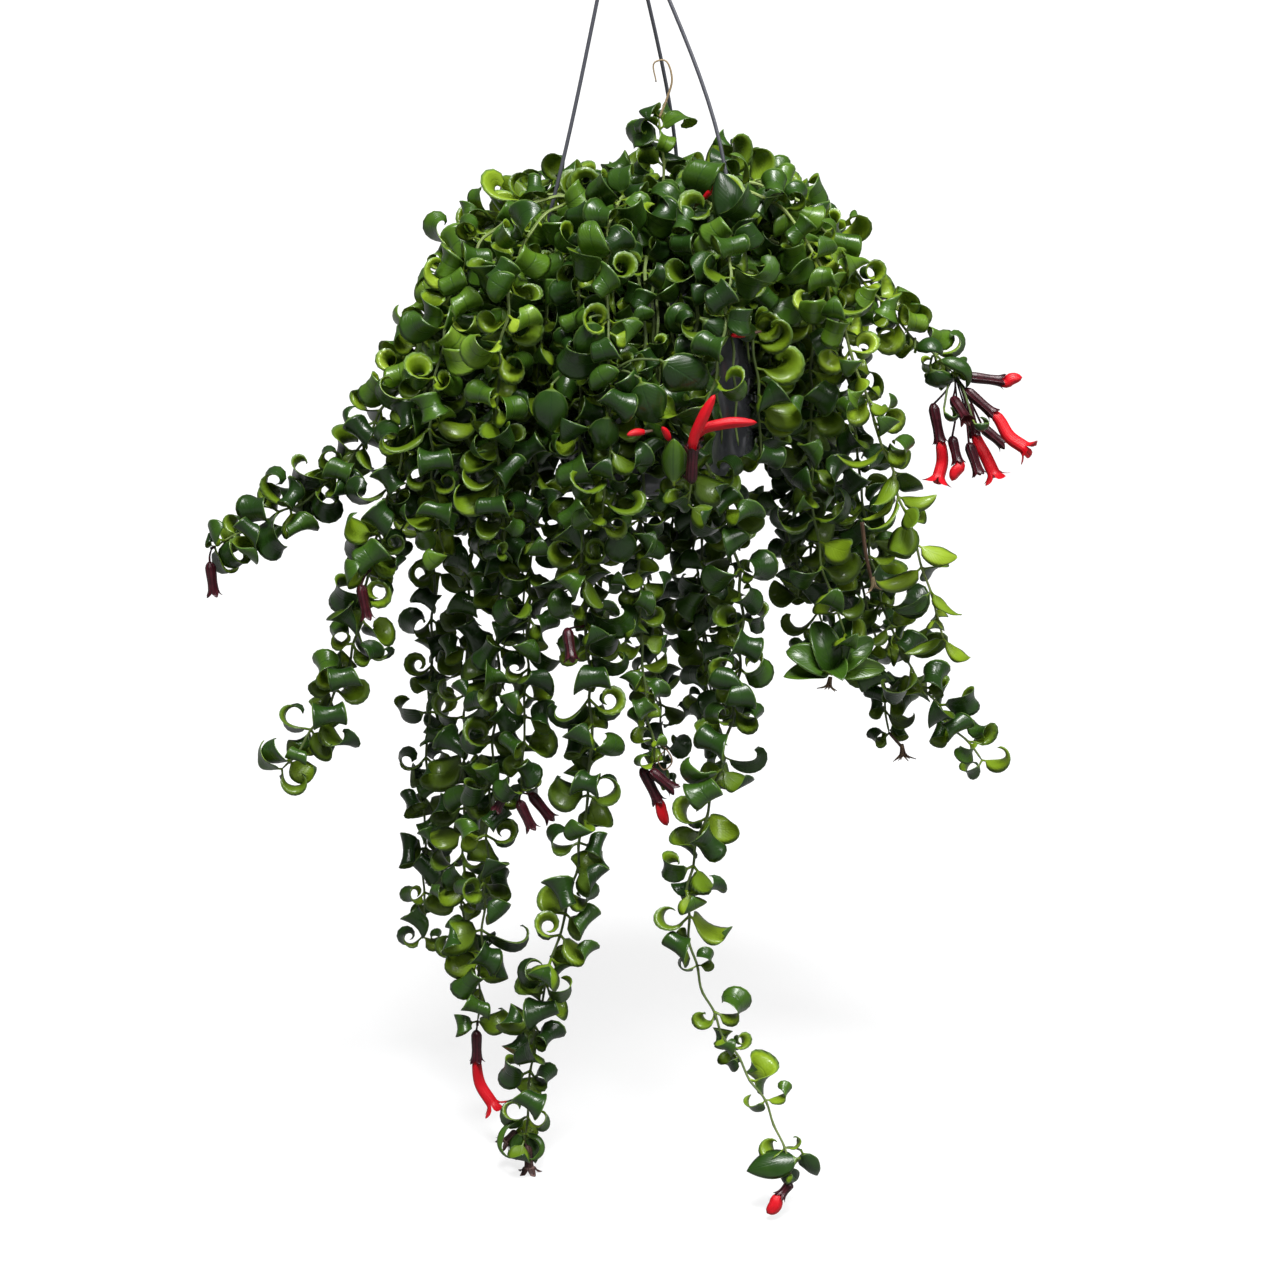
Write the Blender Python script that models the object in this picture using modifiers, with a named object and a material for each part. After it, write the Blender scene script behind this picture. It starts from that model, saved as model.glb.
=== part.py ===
# A lipstick plant with curled leaves, trailing from a hanging pot on a three-rod hanger.
# Metres, +Z up. The origin is where the hook bears on what it hangs from, and -Y is the front.
import itertools
import math
import random

import bmesh
import bpy
import numpy as np
from mathutils import Matrix, Vector
from mathutils.bvhtree import BVHTree

COLLECTION = "lipstick_plant_hanging_basket"

# The holder hangs a little aslant: pot, soil and hanger turn together about the hook.
LEAN = math.radians(3.5)
RIM_Z = -0.313  # the pot's rim, along the holder's own axis
POT_HEIGHT = 0.144
LIP_RADIUS, LIP_DROP = 0.081, 0.009
WALL_TOP_RADIUS, WALL_FOOT_RADIUS, WALL = 0.0755, 0.0705, 0.0022
FOOT_ROUND = 0.027  # radius of the rounding between wall and base
FIT = 0.0004  # gap that separate pieces keep
LUG_AZIMUTHS = (-75, 45, 165)  # degrees from the front, + to the right
LUG_HOLE_RADIUS, LUG_REACH, LUG_ROOT = 0.086, 0.0915, 0.004
LUG_WIDTH, LUG_THICK = 0.012, 0.0032
LUG_Z = RIM_Z - LUG_THICK
POT_STEPS, SOIL_STEPS = 24, 16

# Hanger
HOOK_INNER_RADIUS, HOOK_WIRE = 0.014, 0.0023
HUB_TOP, HUB_FOOT, HUB_RADIUS = -0.043, -0.055, 0.008
HOOK_ANGLES = (-62, -30, 0, 30, 60, 90, 120, 150, 180, 210)
ROD_WIRE, ROD_ROOT, ROD_BOW = 0.00135, 0.004, 0.035
BUTTON_RADIUS, BUTTON_HEIGHT = 0.0032, 0.0030
BUTTON_Z = LUG_Z - LUG_THICK / 2 - FIT - BUTTON_HEIGHT / 2
ROD_BENDS = ((-0.067, -0.018, -0.267), (0.058, -0.041, -0.233), (0.026, 0.058, -0.243))

# Soil
SOIL_EDGE_DROP, SOIL_CROWN = 0.016, 0.003
HOLE_RADIUS, HOLE_DEPTH, SOIL_GAP = 0.0027, 0.011, 0.0012
SOIL_REACH = 0.060  # no root stands further out

# Stems: (root radius, apex radius, apex height, shoulder radius, shoulder height) of each
# layer of arches over the rim, in the holder's frame, so that outer stems lie under inner ones.
ARCHES = (
    (0.060, 0.076, 0.017, 0.094, 0.006),
    (0.046, 0.070, 0.034, 0.103, 0.018),
    (0.031, 0.062, 0.052, 0.111, 0.032),
    (0.016, 0.054, 0.070, 0.117, 0.046),
)
STEM_WIRE = 0.0014
NODE_STEP = 0.0175  # between leaf pairs
FIRST_NODE = 2  # the first node above the soil that bears leaves
ROUTE_STEP = 0.010
STEM_CLEAR, POT_CLEAR = 0.0075, 0.008
POT_BAND = (RIM_Z - POT_HEIGHT - 0.010, RIM_Z + 0.006)  # heights where a stem could meet the pot
EASE = 0.3  # how far a route point moves to its neighbours' middle in a round
ROOTED_POINTS = 5  # route points near the root that nothing pushes aside

# Stems that the photo shows: name, azimuth of the root, arch layer, route beyond the shoulder.
SHOWN_STEMS = (
    ("left_far", -82, 3, (
        (-0.132, -0.04, -0.335), (-0.163, -0.05, -0.393), (-0.200, -0.06, -0.445),
        (-0.245, -0.06, -0.471), (-0.283, -0.06, -0.490))),
    ("left_low", -64, 2, (
        (-0.118, -0.075, -0.345), (-0.154, -0.09, -0.436), (-0.171, -0.10, -0.490),
        (-0.181, -0.10, -0.547), (-0.207, -0.10, -0.604), (-0.236, -0.10, -0.640))),
    ("left_short", -97, 2, (
        (-0.120, 0.0, -0.350), (-0.134, -0.02, -0.420), (-0.144, -0.04, -0.470),
        (-0.170, -0.055, -0.500))),
    ("left_long", -104, 1, (
        (-0.112, 0.035, -0.372), (-0.131, 0.04, -0.461), (-0.139, 0.04, -0.581),
        (-0.146, 0.04, -0.704), (-0.150, 0.04, -0.815))),
    ("left_middle", -78, 1, (
        (-0.094, -0.028, -0.360), (-0.102, -0.03, -0.427), (-0.108, -0.03, -0.536),
        (-0.113, -0.03, -0.685), (-0.116, -0.03, -0.796))),
    ("left_flowering", -56, 1, (
        (-0.073, -0.070, -0.350), (-0.079, -0.08, -0.417), (-0.083, -0.08, -0.523),
        (-0.092, -0.08, -0.669), (-0.101, -0.08, -0.805), (-0.103, -0.08, -0.836))),
    ("left_crown", -68, 3, (
        (-0.112, -0.085, -0.315), (-0.124, -0.10, -0.360), (-0.128, -0.105, -0.425),
        (-0.120, -0.10, -0.485))),
    ("front_left", -38, 1, (
        (-0.053, -0.098, -0.350), (-0.057, -0.105, -0.411), (-0.062, -0.10, -0.518),
        (-0.069, -0.10, -0.655))),
    ("front_left_short", -44, 3, (
        (-0.072, -0.118, -0.300), (-0.080, -0.128, -0.350), (-0.082, -0.130, -0.420),
        (-0.078, -0.128, -0.475))),
    ("front_long", -22, 2, (
        (-0.026, -0.125, -0.340), (-0.026, -0.130, -0.407), (-0.025, -0.13, -0.497),
        (-0.019, -0.13, -0.610), (-0.035, -0.13, -0.726), (-0.056, -0.13, -0.800),
        (-0.068, -0.13, -0.906))),
    ("front_short", -12, 3, (
        (-0.008, -0.142, -0.300), (-0.006, -0.152, -0.345), (-0.006, -0.154, -0.400),
        (-0.012, -0.150, -0.455))),
    ("front_thin", 0, 1, (
        (0.016, -0.116, -0.360), (0.017, -0.12, -0.420), (0.014, -0.12, -0.485),
        (0.017, -0.12, -0.577), (0.024, -0.12, -0.629))),
    ("front_right_long", 19, 2, (
        (0.050, -0.120, -0.335), (0.049, -0.128, -0.396), (0.067, -0.126, -0.440),
        (0.082, -0.122, -0.492), (0.079, -0.13, -0.582), (0.063, -0.14, -0.650),
        (0.046, -0.15, -0.705), (0.050, -0.16, -0.759), (0.071, -0.17, -0.811),
        (0.109, -0.19, -0.868), (0.117, -0.20, -0.900))),
    ("front_right_short", 30, 3, (
        (0.072, -0.138, -0.300), (0.066, -0.152, -0.345), (0.052, -0.156, -0.395),
        (0.046, -0.152, -0.440))),
    ("right_rosette", 74, 2, (
        (0.133, -0.042, -0.363), (0.133, -0.045, -0.442), (0.143, -0.05, -0.512),
        (0.159, -0.05, -0.556))),
    ("right_pale", 62, 3, (
        (0.143, -0.072, -0.310), (0.165, -0.08, -0.370), (0.184, -0.085, -0.424),
        (0.204, -0.085, -0.481), (0.225, -0.085, -0.550))),
    ("right_flowering", 83, 3, (
        (0.150, -0.022, -0.285), (0.177, -0.03, -0.318), (0.213, -0.03, -0.356),
        (0.232, -0.03, -0.372))),
    ("right_far", 99, 3, (
        (0.152, 0.012, -0.340), (0.166, 0.008, -0.412), (0.178, 0.004, -0.499),
        (0.198, 0.0, -0.573), (0.229, 0.0, -0.622), (0.264, 0.0, -0.664))),
    ("right_middle", 92, 1, (
        (0.135, 0.015, -0.368), (0.152, 0.030, -0.449), (0.172, 0.04, -0.523),
        (0.189, 0.04, -0.591), (0.199, 0.04, -0.655))),
    ("right_back", 118, 2, (
        (0.122, 0.066, -0.380), (0.128, 0.074, -0.470), (0.132, 0.076, -0.560))),
    ("back_right_low", 150, 1, (
        (0.064, 0.114, -0.380), (0.060, 0.12, -0.472), (0.061, 0.12, -0.558),
        (0.069, 0.12, -0.652), (0.079, 0.12, -0.698))),
)
# Stems that the photo doesn't show hang evenly round the back, by a rule.
BACK_AZIMUTHS = (130, 140, 160, 168, 178, 188, 198, 208, 218, 228, 238, 248)
BACK_LAYERS = (1, 3, 2, 0)
BACK_HANG = (0.17, 0.46)  # shortest and longest below the rim
BACK_OFFSET = 0.012  # from a layer's shoulder to its hanging part, and again for each layer out
BACK_SWAY, BACK_SPREAD = 6, 0.05  # degrees either way, and the most that a stem swings out
SEED = 12
CROWN_ROOT = (0.012, 95, -0.324)  # radius, azimuth and the height where it leaves the upright
CROWN_ROUTE = ((0.027, 0.014, -0.269), (0.033, 0.018, -0.236), (0.027, 0.020, -0.200))

# Leaves
LEAF_LENGTH, LEAF_WIDTH = (0.033, 0.041), (0.020, 0.027)
PETIOLE = 0.0045
CURL = (math.radians(235), math.radians(365))  # how far a blade turns back on itself
CURL_BEND = 1.3  # over 1, a blade curls most towards its tip
LEAF_START = math.radians(-38)  # a petiole leans towards the stem's tip
BLADE_CUTS = (0.03, 0.27, 0.53, 0.79)  # where a blade has cross-sections, as shares of its length
BLADE_BASE, ROOT_DEPTH = 0.0020, 0.0009
KEEL, EDGE_LIFT = 0.0011, 0.0040
# Each leaf's own share either way; its spin turns it about its petiole.
START_SPREAD, DRIFT, TWIST, SWING, SPIN = 0.30, 0.18, 0.45, 0.14, 0.70
LEAF_CLEAR, LEAF_CLEAR_OF_STEM = 0.0006, 0.0003
FLAT_CURL = {"right_pale": 0.22, "right_rosette": 0.55, "front_thin": 0.85}
LEAF_SCALE = {"front_thin": 0.72, "right_pale": 0.86}
LEAF_STRIDES = (3, 3, 3, 2)  # from one node with a leaf to the next, in turn
CHORD_OFF = 0.0028  # how far a stem's solid may lie off its smooth route

# Blooms: stem, node counted back from its tip, then the flowers, in millimetres from there.
# A flower is its calyx's base and mouth and, where it has one, its corolla's bend, end and state.
OPEN, BUD = "open", "bud"
BLOOMS = {
    "right_cluster": ("right_flowering", 0, (
        ((10, 0, -3), (34, 0, -6), (40, 0, -5.5), (49, 0, -3.5), BUD),
        ((8, -10, -10), (27, -15, -26), (39, -20, -42), (54, -25, -52), OPEN),
        ((-1, -15, -15), (7, -32, -27)),
        ((-14, -10, -20), (-9, -15, -45), (-7, -15, -61), (-11, -20, -76), OPEN),
        ((-1, -17, -42), (3, -22, -58.5), (2, -24, -65), (-1, -26, -72), BUD),
        ((11, -15, -47), (18, -20, -67)),
        ((23, 12, -41), (38, 12, -53)),
        ((10, 2, -22), (17, 1, -43), (24, -3, -58), (32.5, -8, -75.5), OPEN))),
    "centre_pair": ("front_right_short", 1, (
        ((-1, -17, 1), (0, -21, 25), (7, -25, 48), (14, -26, 62), BUD),
        ((-10, -9, 8), (2, -11, 30), (20, -12, 40), (42, -12, 41), BUD))),
    "left_flower": ("left_flowering", 0, (
        ((-1, 0, -7), (-1, 0, -29), (1, 0, -48), (13, -5, -67), OPEN),)),
    "thin_pair": ("front_thin", 0, (
        ((-9, 0, -4), (2, 0, -27), (5, 0, -36), (9, 0, -46), BUD),
        ((-3, -6, -4), (12.5, -6, -17)))),
    "floor_flower": ("front_right_long", 0, (
        ((1, -4, -5), (-6, -7, -13), (-10, -9, -19.5), (-16, -12, -24.5), BUD),)),
    "far_left_calyx": ("left_far", 0, (
        ((-4, 0, -11), (-2, 0, -33)),)),
    "low_left_calyx": ("left_low", 9, (
        ((-6, -16, -6), (-2, -18, -28)),)),
    "front_calyx": ("front_long", 22, (
        ((-12, -14, 2), (-9, -24, -16)),)),
    "front_left_trio": ("front_left", 0, (
        ((-10, 0, 0), (-17, 0, -14)),
        ((6, -2, -2), (20, -2, -20)),
        ((-2, -6, -6), (7, -8, -25)))),
    "dried_calyces": ("front_long", 0, (
        ((2, 0, -4), (3, 0, -22)),
        ((-6, 6, 4), (-14, 6, -4)))),
}
MM = 0.001
CALYX_RADIUS, CALYX_MOUTH, CALYX_LOBE, CALYX_HOLLOW = 0.0039, 0.0055, 0.0028, 0.0050
COROLLA_RADIUS, COROLLA_MOUTH, COROLLA_LOBE = 0.0037, 0.0078, 0.0062
PEDICEL_WIRE, TIP_GAP = 0.0006, 0.0004

# Colour, roughness
LEAF_GREEN = (0.045, 0.10, 0.02, 1), 0.35
POT_GREY = (0.028, 0.030, 0.036, 1), 0.22
ROD_GREY = (0.10, 0.10, 0.12, 1), 0.38
SOIL_BROWN = (0.045, 0.028, 0.017, 1), 0.95
CALYX_MAROON = (0.045, 0.012, 0.014, 1), 0.45
COROLLA_RED = (0.62, 0.012, 0.02, 1), 0.4
SHARP_ANGLE = math.radians(65)


def clear_scene():
    for obj in list(bpy.data.objects):
        bpy.data.objects.remove(obj, do_unlink=True)


def add_collection(name):
    made = bpy.data.collections.new(name)
    bpy.context.scene.collection.children.link(made)
    return made


def finish(obj, look):
    """Gives the object a material of its own, and smooth shading between its sharp edges."""
    material = bpy.data.materials.new(obj.name)
    material.use_nodes = True
    shader = material.node_tree.nodes["Principled BSDF"]
    shader.inputs["Base Color"].default_value, shader.inputs["Roughness"].default_value = look
    obj.data.materials.clear()
    obj.data.materials.append(material)
    obj.data.shade_smooth()
    obj.data.set_sharp_from_angle(angle=SHARP_ANGLE)


def take_primitive(name, location, collection):
    """Names the primitive just added, places it and moves it to the collection."""
    obj = bpy.context.object
    obj.name, obj.location = name, location
    for held in list(obj.users_collection):
        held.objects.unlink(obj)
    collection.objects.link(obj)
    return obj


def evaluated_mesh(obj):
    graph = bpy.context.evaluated_depsgraph_get()
    return bpy.data.meshes.new_from_object(obj.evaluated_get(graph))


def tube(name, points, radius, sides, collection):
    """A wire along the points, as a closed mesh object."""
    curve = bpy.data.curves.new(name, "CURVE")
    curve.dimensions = "3D"
    curve.bevel_depth = radius
    curve.bevel_resolution = (sides - 4) // 2
    curve.use_fill_caps = True
    spline = curve.splines.new("POLY")
    spline.points.add(len(points) - 1)
    for spot, point in zip(spline.points, points):
        spot.co = (*point, 1)
    guide = bpy.data.objects.new(name, curve)
    collection.objects.link(guide)
    mesh = evaluated_mesh(guide)
    bpy.data.objects.remove(guide)
    bm = bmesh.new()
    bm.from_mesh(mesh)
    bmesh.ops.remove_doubles(bm, verts=bm.verts, dist=1e-6)
    bmesh.ops.recalc_face_normals(bm, faces=bm.faces)
    bm.to_mesh(mesh)
    bm.free()
    obj = bpy.data.objects.new(name, mesh)
    collection.objects.link(obj)
    return obj


def turned(name, profile, steps, collection):
    """A profile of (radius, z) points, running down its outer side, turned about Z."""
    mesh = bpy.data.meshes.new(name)
    mesh.from_pydata([(r, 0, z) for r, z in profile], [(i, i + 1) for i in range(len(profile) - 1)], [])
    obj = bpy.data.objects.new(name, mesh)
    collection.objects.link(obj)
    screw = obj.modifiers.new("turn", "SCREW")
    screw.steps = screw.render_steps = steps
    screw.use_merge_vertices = True
    screw.merge_threshold = 0.00001
    return obj


def apply_modifiers(obj):
    shaped = evaluated_mesh(obj)
    obj.modifiers.clear()
    obj.data = shaped


def combine(obj, collection, operation):
    """A Boolean of this object and all of the collection's."""
    boolean = obj.modifiers.new(operation.lower(), "BOOLEAN")
    boolean.operation = operation
    boolean.operand_type = "COLLECTION"
    boolean.collection = collection


def unite(obj, collection):
    """Joins the collection's objects to this one for good, and removes them."""
    combine(obj, collection, "UNION")
    apply_modifiers(obj)
    for piece in list(collection.objects):
        bpy.data.objects.remove(piece)
    bpy.data.collections.remove(collection)


def add_cutter(name, radius, vertices, depth, location, cutters):
    """An upright prism that a hole is cut with. It rides with the holder, as what it cuts does."""
    bpy.ops.mesh.primitive_cylinder_add(vertices=vertices, radius=radius, depth=depth)
    cutter = take_primitive(name, location, cutters)
    cutter.hide_render = True
    cutter.display_type = "WIRE"
    return cutter


def loft(rings, start=None, end=None):
    """Vertices and faces of a closed skin over the rings. A ring may have twice as many points
    as the one before it, and either end closes in a point if one is given."""
    points = [p for ring in rings for p in ring]
    count = len(rings[0])
    faces = [] if start else [tuple(reversed(range(count)))]
    first = 0
    for ring, following in zip(rings, rings[1:]):
        count, onward = len(ring), first + len(ring)
        for i in range(count):
            j = (i + 1) % count
            if len(following) == count:
                faces.append((first + i, first + j, onward + j, onward + i))
            else:
                tip, notch, after = onward + 2 * i, onward + 2 * i + 1, onward + (2 * i + 2) % (2 * count)
                faces += [(first + i, notch, tip), (first + i, first + j, notch), (first + j, after, notch)]
        first = onward
    count = len(rings[-1])
    if end is None:
        faces.append(tuple(range(first, first + count)))
    else:
        points.append(end)
        faces += [(first + i, first + (i + 1) % count, len(points) - 1) for i in range(count)]
    if start:
        count = len(rings[0])
        points.append(start)
        faces += [((i + 1) % count, i, len(points) - 1) for i in range(count)]
    return points, faces


def skin_object(name, skin, collection):
    mesh = bpy.data.meshes.new(name)
    mesh.from_pydata([tuple(p) for p in skin[0]], [], skin[1])
    bm = bmesh.new()
    bm.from_mesh(mesh)
    bmesh.ops.triangulate(bm, faces=bm.faces)
    bmesh.ops.recalc_face_normals(bm, faces=bm.faces)
    bm.to_mesh(mesh)
    bm.free()
    obj = bpy.data.objects.new(name, mesh)
    collection.objects.link(obj)
    return obj


# The holder: a polar place about its axis, and its lean


def around(radius, azimuth, z):
    """A point at this azimuth, in degrees from the front with + to the right."""
    turn = math.radians(azimuth)
    return Vector((radius * math.sin(turn), -radius * math.cos(turn), z))


def leant(point):
    """A point of the holder's frame, in the world."""
    return Matrix.Rotation(-LEAN, 3, "Y") @ Vector(point)


def unleant(point):
    return Matrix.Rotation(LEAN, 3, "Y") @ Vector(point)


def foot_arc(radius, centre_radius, centre_z, steps=3):
    """The rounding between wall and base, from the wall inwards."""
    turns = [math.pi / 2 * i / steps for i in range(1, steps + 1)]
    return [(centre_radius + radius * math.cos(t), centre_z - radius * math.sin(t)) for t in turns]


def make_pot(holder, collection):
    base = RIM_Z - POT_HEIGHT
    centre_radius, centre_z = WALL_FOOT_RADIUS - FOOT_ROUND, base + FOOT_ROUND
    inner_arc = foot_arc(FOOT_ROUND - WALL, centre_radius, centre_z)
    profile = [(0, base + WALL), *reversed(inner_arc), (WALL_FOOT_RADIUS - WALL, centre_z)]
    profile += [(WALL_TOP_RADIUS - WALL, RIM_Z), (LIP_RADIUS, RIM_Z), (LIP_RADIUS, RIM_Z - LIP_DROP)]
    profile += [(WALL_TOP_RADIUS, RIM_Z - LIP_DROP), (WALL_FOOT_RADIUS, centre_z)]
    profile += [*foot_arc(FOOT_ROUND, centre_radius, centre_z), (0, base)]
    pot = turned("pot", profile, POT_STEPS, collection)
    lugs, cutters = add_collection("pot_lugs"), add_collection("cutters_pot")
    inner = LIP_RADIUS - LUG_ROOT
    for azimuth in LUG_AZIMUTHS:
        bpy.ops.mesh.primitive_cube_add(size=1)
        lug = take_primitive("lug", around((LUG_REACH + inner) / 2, azimuth, LUG_Z), lugs)
        lug.scale = (LUG_WIDTH, LUG_REACH - inner, LUG_THICK)
        lug.rotation_euler.z = math.radians(azimuth)
        eye = around(LUG_HOLE_RADIUS, azimuth, LUG_Z)
        add_cutter("cut_lug", ROD_WIRE + FIT, 8, 4 * LUG_THICK, eye, cutters).parent = holder
    bpy.context.view_layer.update()
    unite(pot, lugs)
    combine(pot, cutters, "DIFFERENCE")
    pot.parent = holder
    finish(pot, POT_GREY)
    return pot


def soil_top(radius):
    return RIM_Z - SOIL_EDGE_DROP + SOIL_CROWN * (1 - radius / WALL_TOP_RADIUS)


def make_soil(holder, collection, roots):
    edge_z = RIM_Z - SOIL_EDGE_DROP
    base = RIM_Z - POT_HEIGHT + WALL + FIT
    centre_radius, centre_z = WALL_FOOT_RADIUS - FOOT_ROUND, RIM_Z - POT_HEIGHT + FOOT_ROUND
    wall_slope = (WALL_TOP_RADIUS - WALL_FOOT_RADIUS) / (RIM_Z - centre_z)
    top_radius = WALL_TOP_RADIUS - WALL - SOIL_GAP - wall_slope * SOIL_EDGE_DROP
    profile = [(0, edge_z + SOIL_CROWN), (top_radius, edge_z), (WALL_FOOT_RADIUS - WALL - SOIL_GAP, centre_z)]
    profile += foot_arc(FOOT_ROUND - WALL - SOIL_GAP, centre_radius, centre_z)[:2]
    profile += [(centre_radius, base), (0, base)]
    soil = turned("soil", profile, SOIL_STEPS, collection)
    cutters = add_collection("cutters_soil")
    for radius, azimuth in roots:
        middle = around(radius, azimuth, soil_top(radius))
        add_cutter("cut_soil", HOLE_RADIUS, 4, 2 * HOLE_DEPTH, middle, cutters).parent = holder
    combine(soil, cutters, "DIFFERENCE")
    soil.parent = holder
    finish(soil, SOIL_BROWN)
    return soil


def rod_route(azimuth, bend):
    """A rod's points: from the hub, bowed out over the foliage, to its button under the lug."""
    start, bend = around(ROD_ROOT, azimuth, HUB_FOOT + ROD_ROOT), Vector(bend)
    eye = around(LUG_HOLE_RADIUS, azimuth, RIM_Z + ROD_ROOT)
    bow = (bend - start) * ROD_BOW
    end = around(LUG_HOLE_RADIUS, azimuth, BUTTON_Z)
    return [start, bend, bend.lerp(eye, 0.35) + bow, bend.lerp(eye, 0.7) + bow * 0.85, eye, end]


def make_hanger(holder, collection):
    ring = HOOK_INNER_RADIUS + HOOK_WIRE
    turns = [math.radians(angle) for angle in HOOK_ANGLES]
    hook = [(0, 0, HUB_TOP - HOOK_WIRE), (0, 0, HUB_TOP + 2.5 * HOOK_WIRE)]
    hook += [(ring * math.cos(t), 0, -HOOK_INNER_RADIUS + ring * math.sin(t)) for t in turns]
    hanger = tube("hanger", hook, HOOK_WIRE, 6, collection)
    pieces = add_collection("hanger_pieces")
    profile = [(0, HUB_TOP), (HUB_RADIUS * 0.6, HUB_TOP), (HUB_RADIUS, (HUB_TOP + HUB_FOOT) / 2)]
    profile += [(HUB_RADIUS * 0.85, HUB_FOOT), (0, HUB_FOOT)]
    apply_modifiers(turned("hub", profile, 12, pieces))
    for azimuth, bend in zip(LUG_AZIMUTHS, ROD_BENDS):
        tube("rod", rod_route(azimuth, bend), ROD_WIRE, 6, pieces)
        foot = BUTTON_RADIUS * 0.6
        bpy.ops.mesh.primitive_cone_add(vertices=8, radius1=foot, radius2=BUTTON_RADIUS, depth=BUTTON_HEIGHT)
        take_primitive("button", around(LUG_HOLE_RADIUS, azimuth, BUTTON_Z), pieces)
    bpy.context.view_layer.update()
    unite(hanger, pieces)
    hanger.parent = holder
    finish(hanger, ROD_GREY)
    return hanger


# Stem routes


def smooth_route(points, step):
    """Points about a step apart on a smooth curve through the given ones."""
    spots = np.array([tuple(p) for p in points])
    legs = np.diff(spots, axis=0)
    gaps = np.linalg.norm(legs, axis=1)[:, None]
    slopes = legs / gaps
    inner = (slopes[:-1] * gaps[1:] + slopes[1:] * gaps[:-1]) / (gaps[:-1] + gaps[1:])
    tangents = np.vstack([slopes[:1], inner, slopes[-1:]])
    t = np.linspace(0, 1, 13)[1:, None]
    fine = [spots[:1]]
    for a, b, ta, tb, gap in zip(spots, spots[1:], tangents, tangents[1:], gaps):
        ease = (2 * t**3 - 3 * t**2 + 1) * a + (3 * t**2 - 2 * t**3) * b
        fine.append(ease + gap * ((t**3 - 2 * t**2 + t) * ta + (t**3 - t**2) * tb))
    fine = np.vstack(fine)
    run = np.concatenate([[0], np.cumsum(np.linalg.norm(np.diff(fine, axis=0), axis=1))])
    at = np.linspace(0, run[-1], max(2, round(run[-1] / step) + 1))
    return np.column_stack([np.interp(at, run, fine[:, k]) for k in range(3)])


def arch(azimuth, layer):
    """A stem's first points in the world: in its hole, at the soil, over its arch, at its shoulder."""
    root, apex, apex_rise, shoulder, shoulder_rise = ARCHES[layer]
    bottom = soil_top(root) - HOLE_DEPTH + FIT
    places = ((root, bottom), (root, bottom + HOLE_DEPTH + 0.004))
    places += ((apex, RIM_Z + apex_rise), (shoulder, RIM_Z + shoulder_rise))
    return [leant(around(radius, azimuth, z)) for radius, z in places]


def back_route(azimuth, layer, rng):
    """The part beyond the shoulder of a stem that hangs by rule."""
    hang = rng.uniform(*BACK_HANG)
    radius = ARCHES[layer][3] + BACK_OFFSET * (1 + layer)
    sway, spread = rng.uniform(-BACK_SWAY, BACK_SWAY), rng.uniform(0.0, BACK_SPREAD)
    shares = (0.12, 0.40, 0.70, 1.0)
    return [leant(around(radius + spread * s * s, azimuth + sway * s, RIM_Z - hang * s)) for s in shares]


def stem_plans():
    """Each stem's name, root (radius, azimuth) and route points."""
    plans = []
    for name, azimuth, layer, beyond in SHOWN_STEMS:
        plans.append((name, (ARCHES[layer][0], azimuth), arch(azimuth, layer) + [Vector(p) for p in beyond]))
    rng = random.Random(SEED)
    for i, azimuth in enumerate(BACK_AZIMUTHS):
        layer = BACK_LAYERS[i % len(BACK_LAYERS)]
        beyond = back_route(azimuth, layer, rng)
        plans.append((f"back_{i + 1:02d}", (ARCHES[layer][0], azimuth), arch(azimuth, layer) + beyond))
    radius, azimuth, height = CROWN_ROOT
    bottom = soil_top(radius) - HOLE_DEPTH + FIT
    rise = [leant(around(radius, azimuth, z)) for z in (bottom, height)]
    plans.append(("crown", (radius, azimuth), rise + [Vector(p) for p in CROWN_ROUTE]))
    return plans


def clear_of_pot(route):
    """Moves the hanging part of a route out of the pot's wall and lip."""
    for i in range(ROOTED_POINTS, len(route)):
        x, y, z = unleant(route[i])
        reach = math.hypot(x, y)
        if POT_BAND[0] < z < POT_BAND[1] and reach > SOIL_REACH:
            least = (LIP_RADIUS if z > RIM_Z - 2 * LIP_DROP else WALL_TOP_RADIUS) + POT_CLEAR
            grow = max(1.0, least / reach)
            route[i] = leant((x * grow, y * grow, z))


def keep_apart(routes, fixed, rounds=14):
    """Eases stems that lie too close past each other and past the rods."""
    for _ in range(rounds):
        for i, route in enumerate(routes):
            for other in routes[i + 1:] + fixed:
                apart = route[ROOTED_POINTS:, None] - other[None, ROOTED_POINTS:]
                near = np.linalg.norm(apart, axis=2)
                for a, b in np.argwhere(near < STEM_CLEAR):
                    away = apart[a, b] / max(near[a, b], 1e-6)
                    push = away * (STEM_CLEAR - near[a, b]) * 0.5
                    route[ROOTED_POINTS + a] += push
                    if not any(other is one for one in fixed):
                        other[ROOTED_POINTS + b] -= push
        for route in routes:
            mean = (route[ROOTED_POINTS - 1:-2] + route[ROOTED_POINTS + 1:]) / 2
            route[ROOTED_POINTS:-1] += EASE * (mean - route[ROOTED_POINTS:-1])
            clear_of_pot(route)


def settled_stems():
    """Each stem's name, root and node points, clear of one another."""
    plans = stem_plans()
    routes = [smooth_route(points, ROUTE_STEP) for _, _, points in plans]
    rods = []
    for azimuth, bend in zip(LUG_AZIMUTHS, ROD_BENDS):
        rods.append(smooth_route([leant(p) for p in rod_route(azimuth, bend)], ROUTE_STEP))
    keep_apart(routes, rods)
    return [(name, root, smooth_route(route, NODE_STEP)) for (name, root, _), route in zip(plans, routes)]


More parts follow.
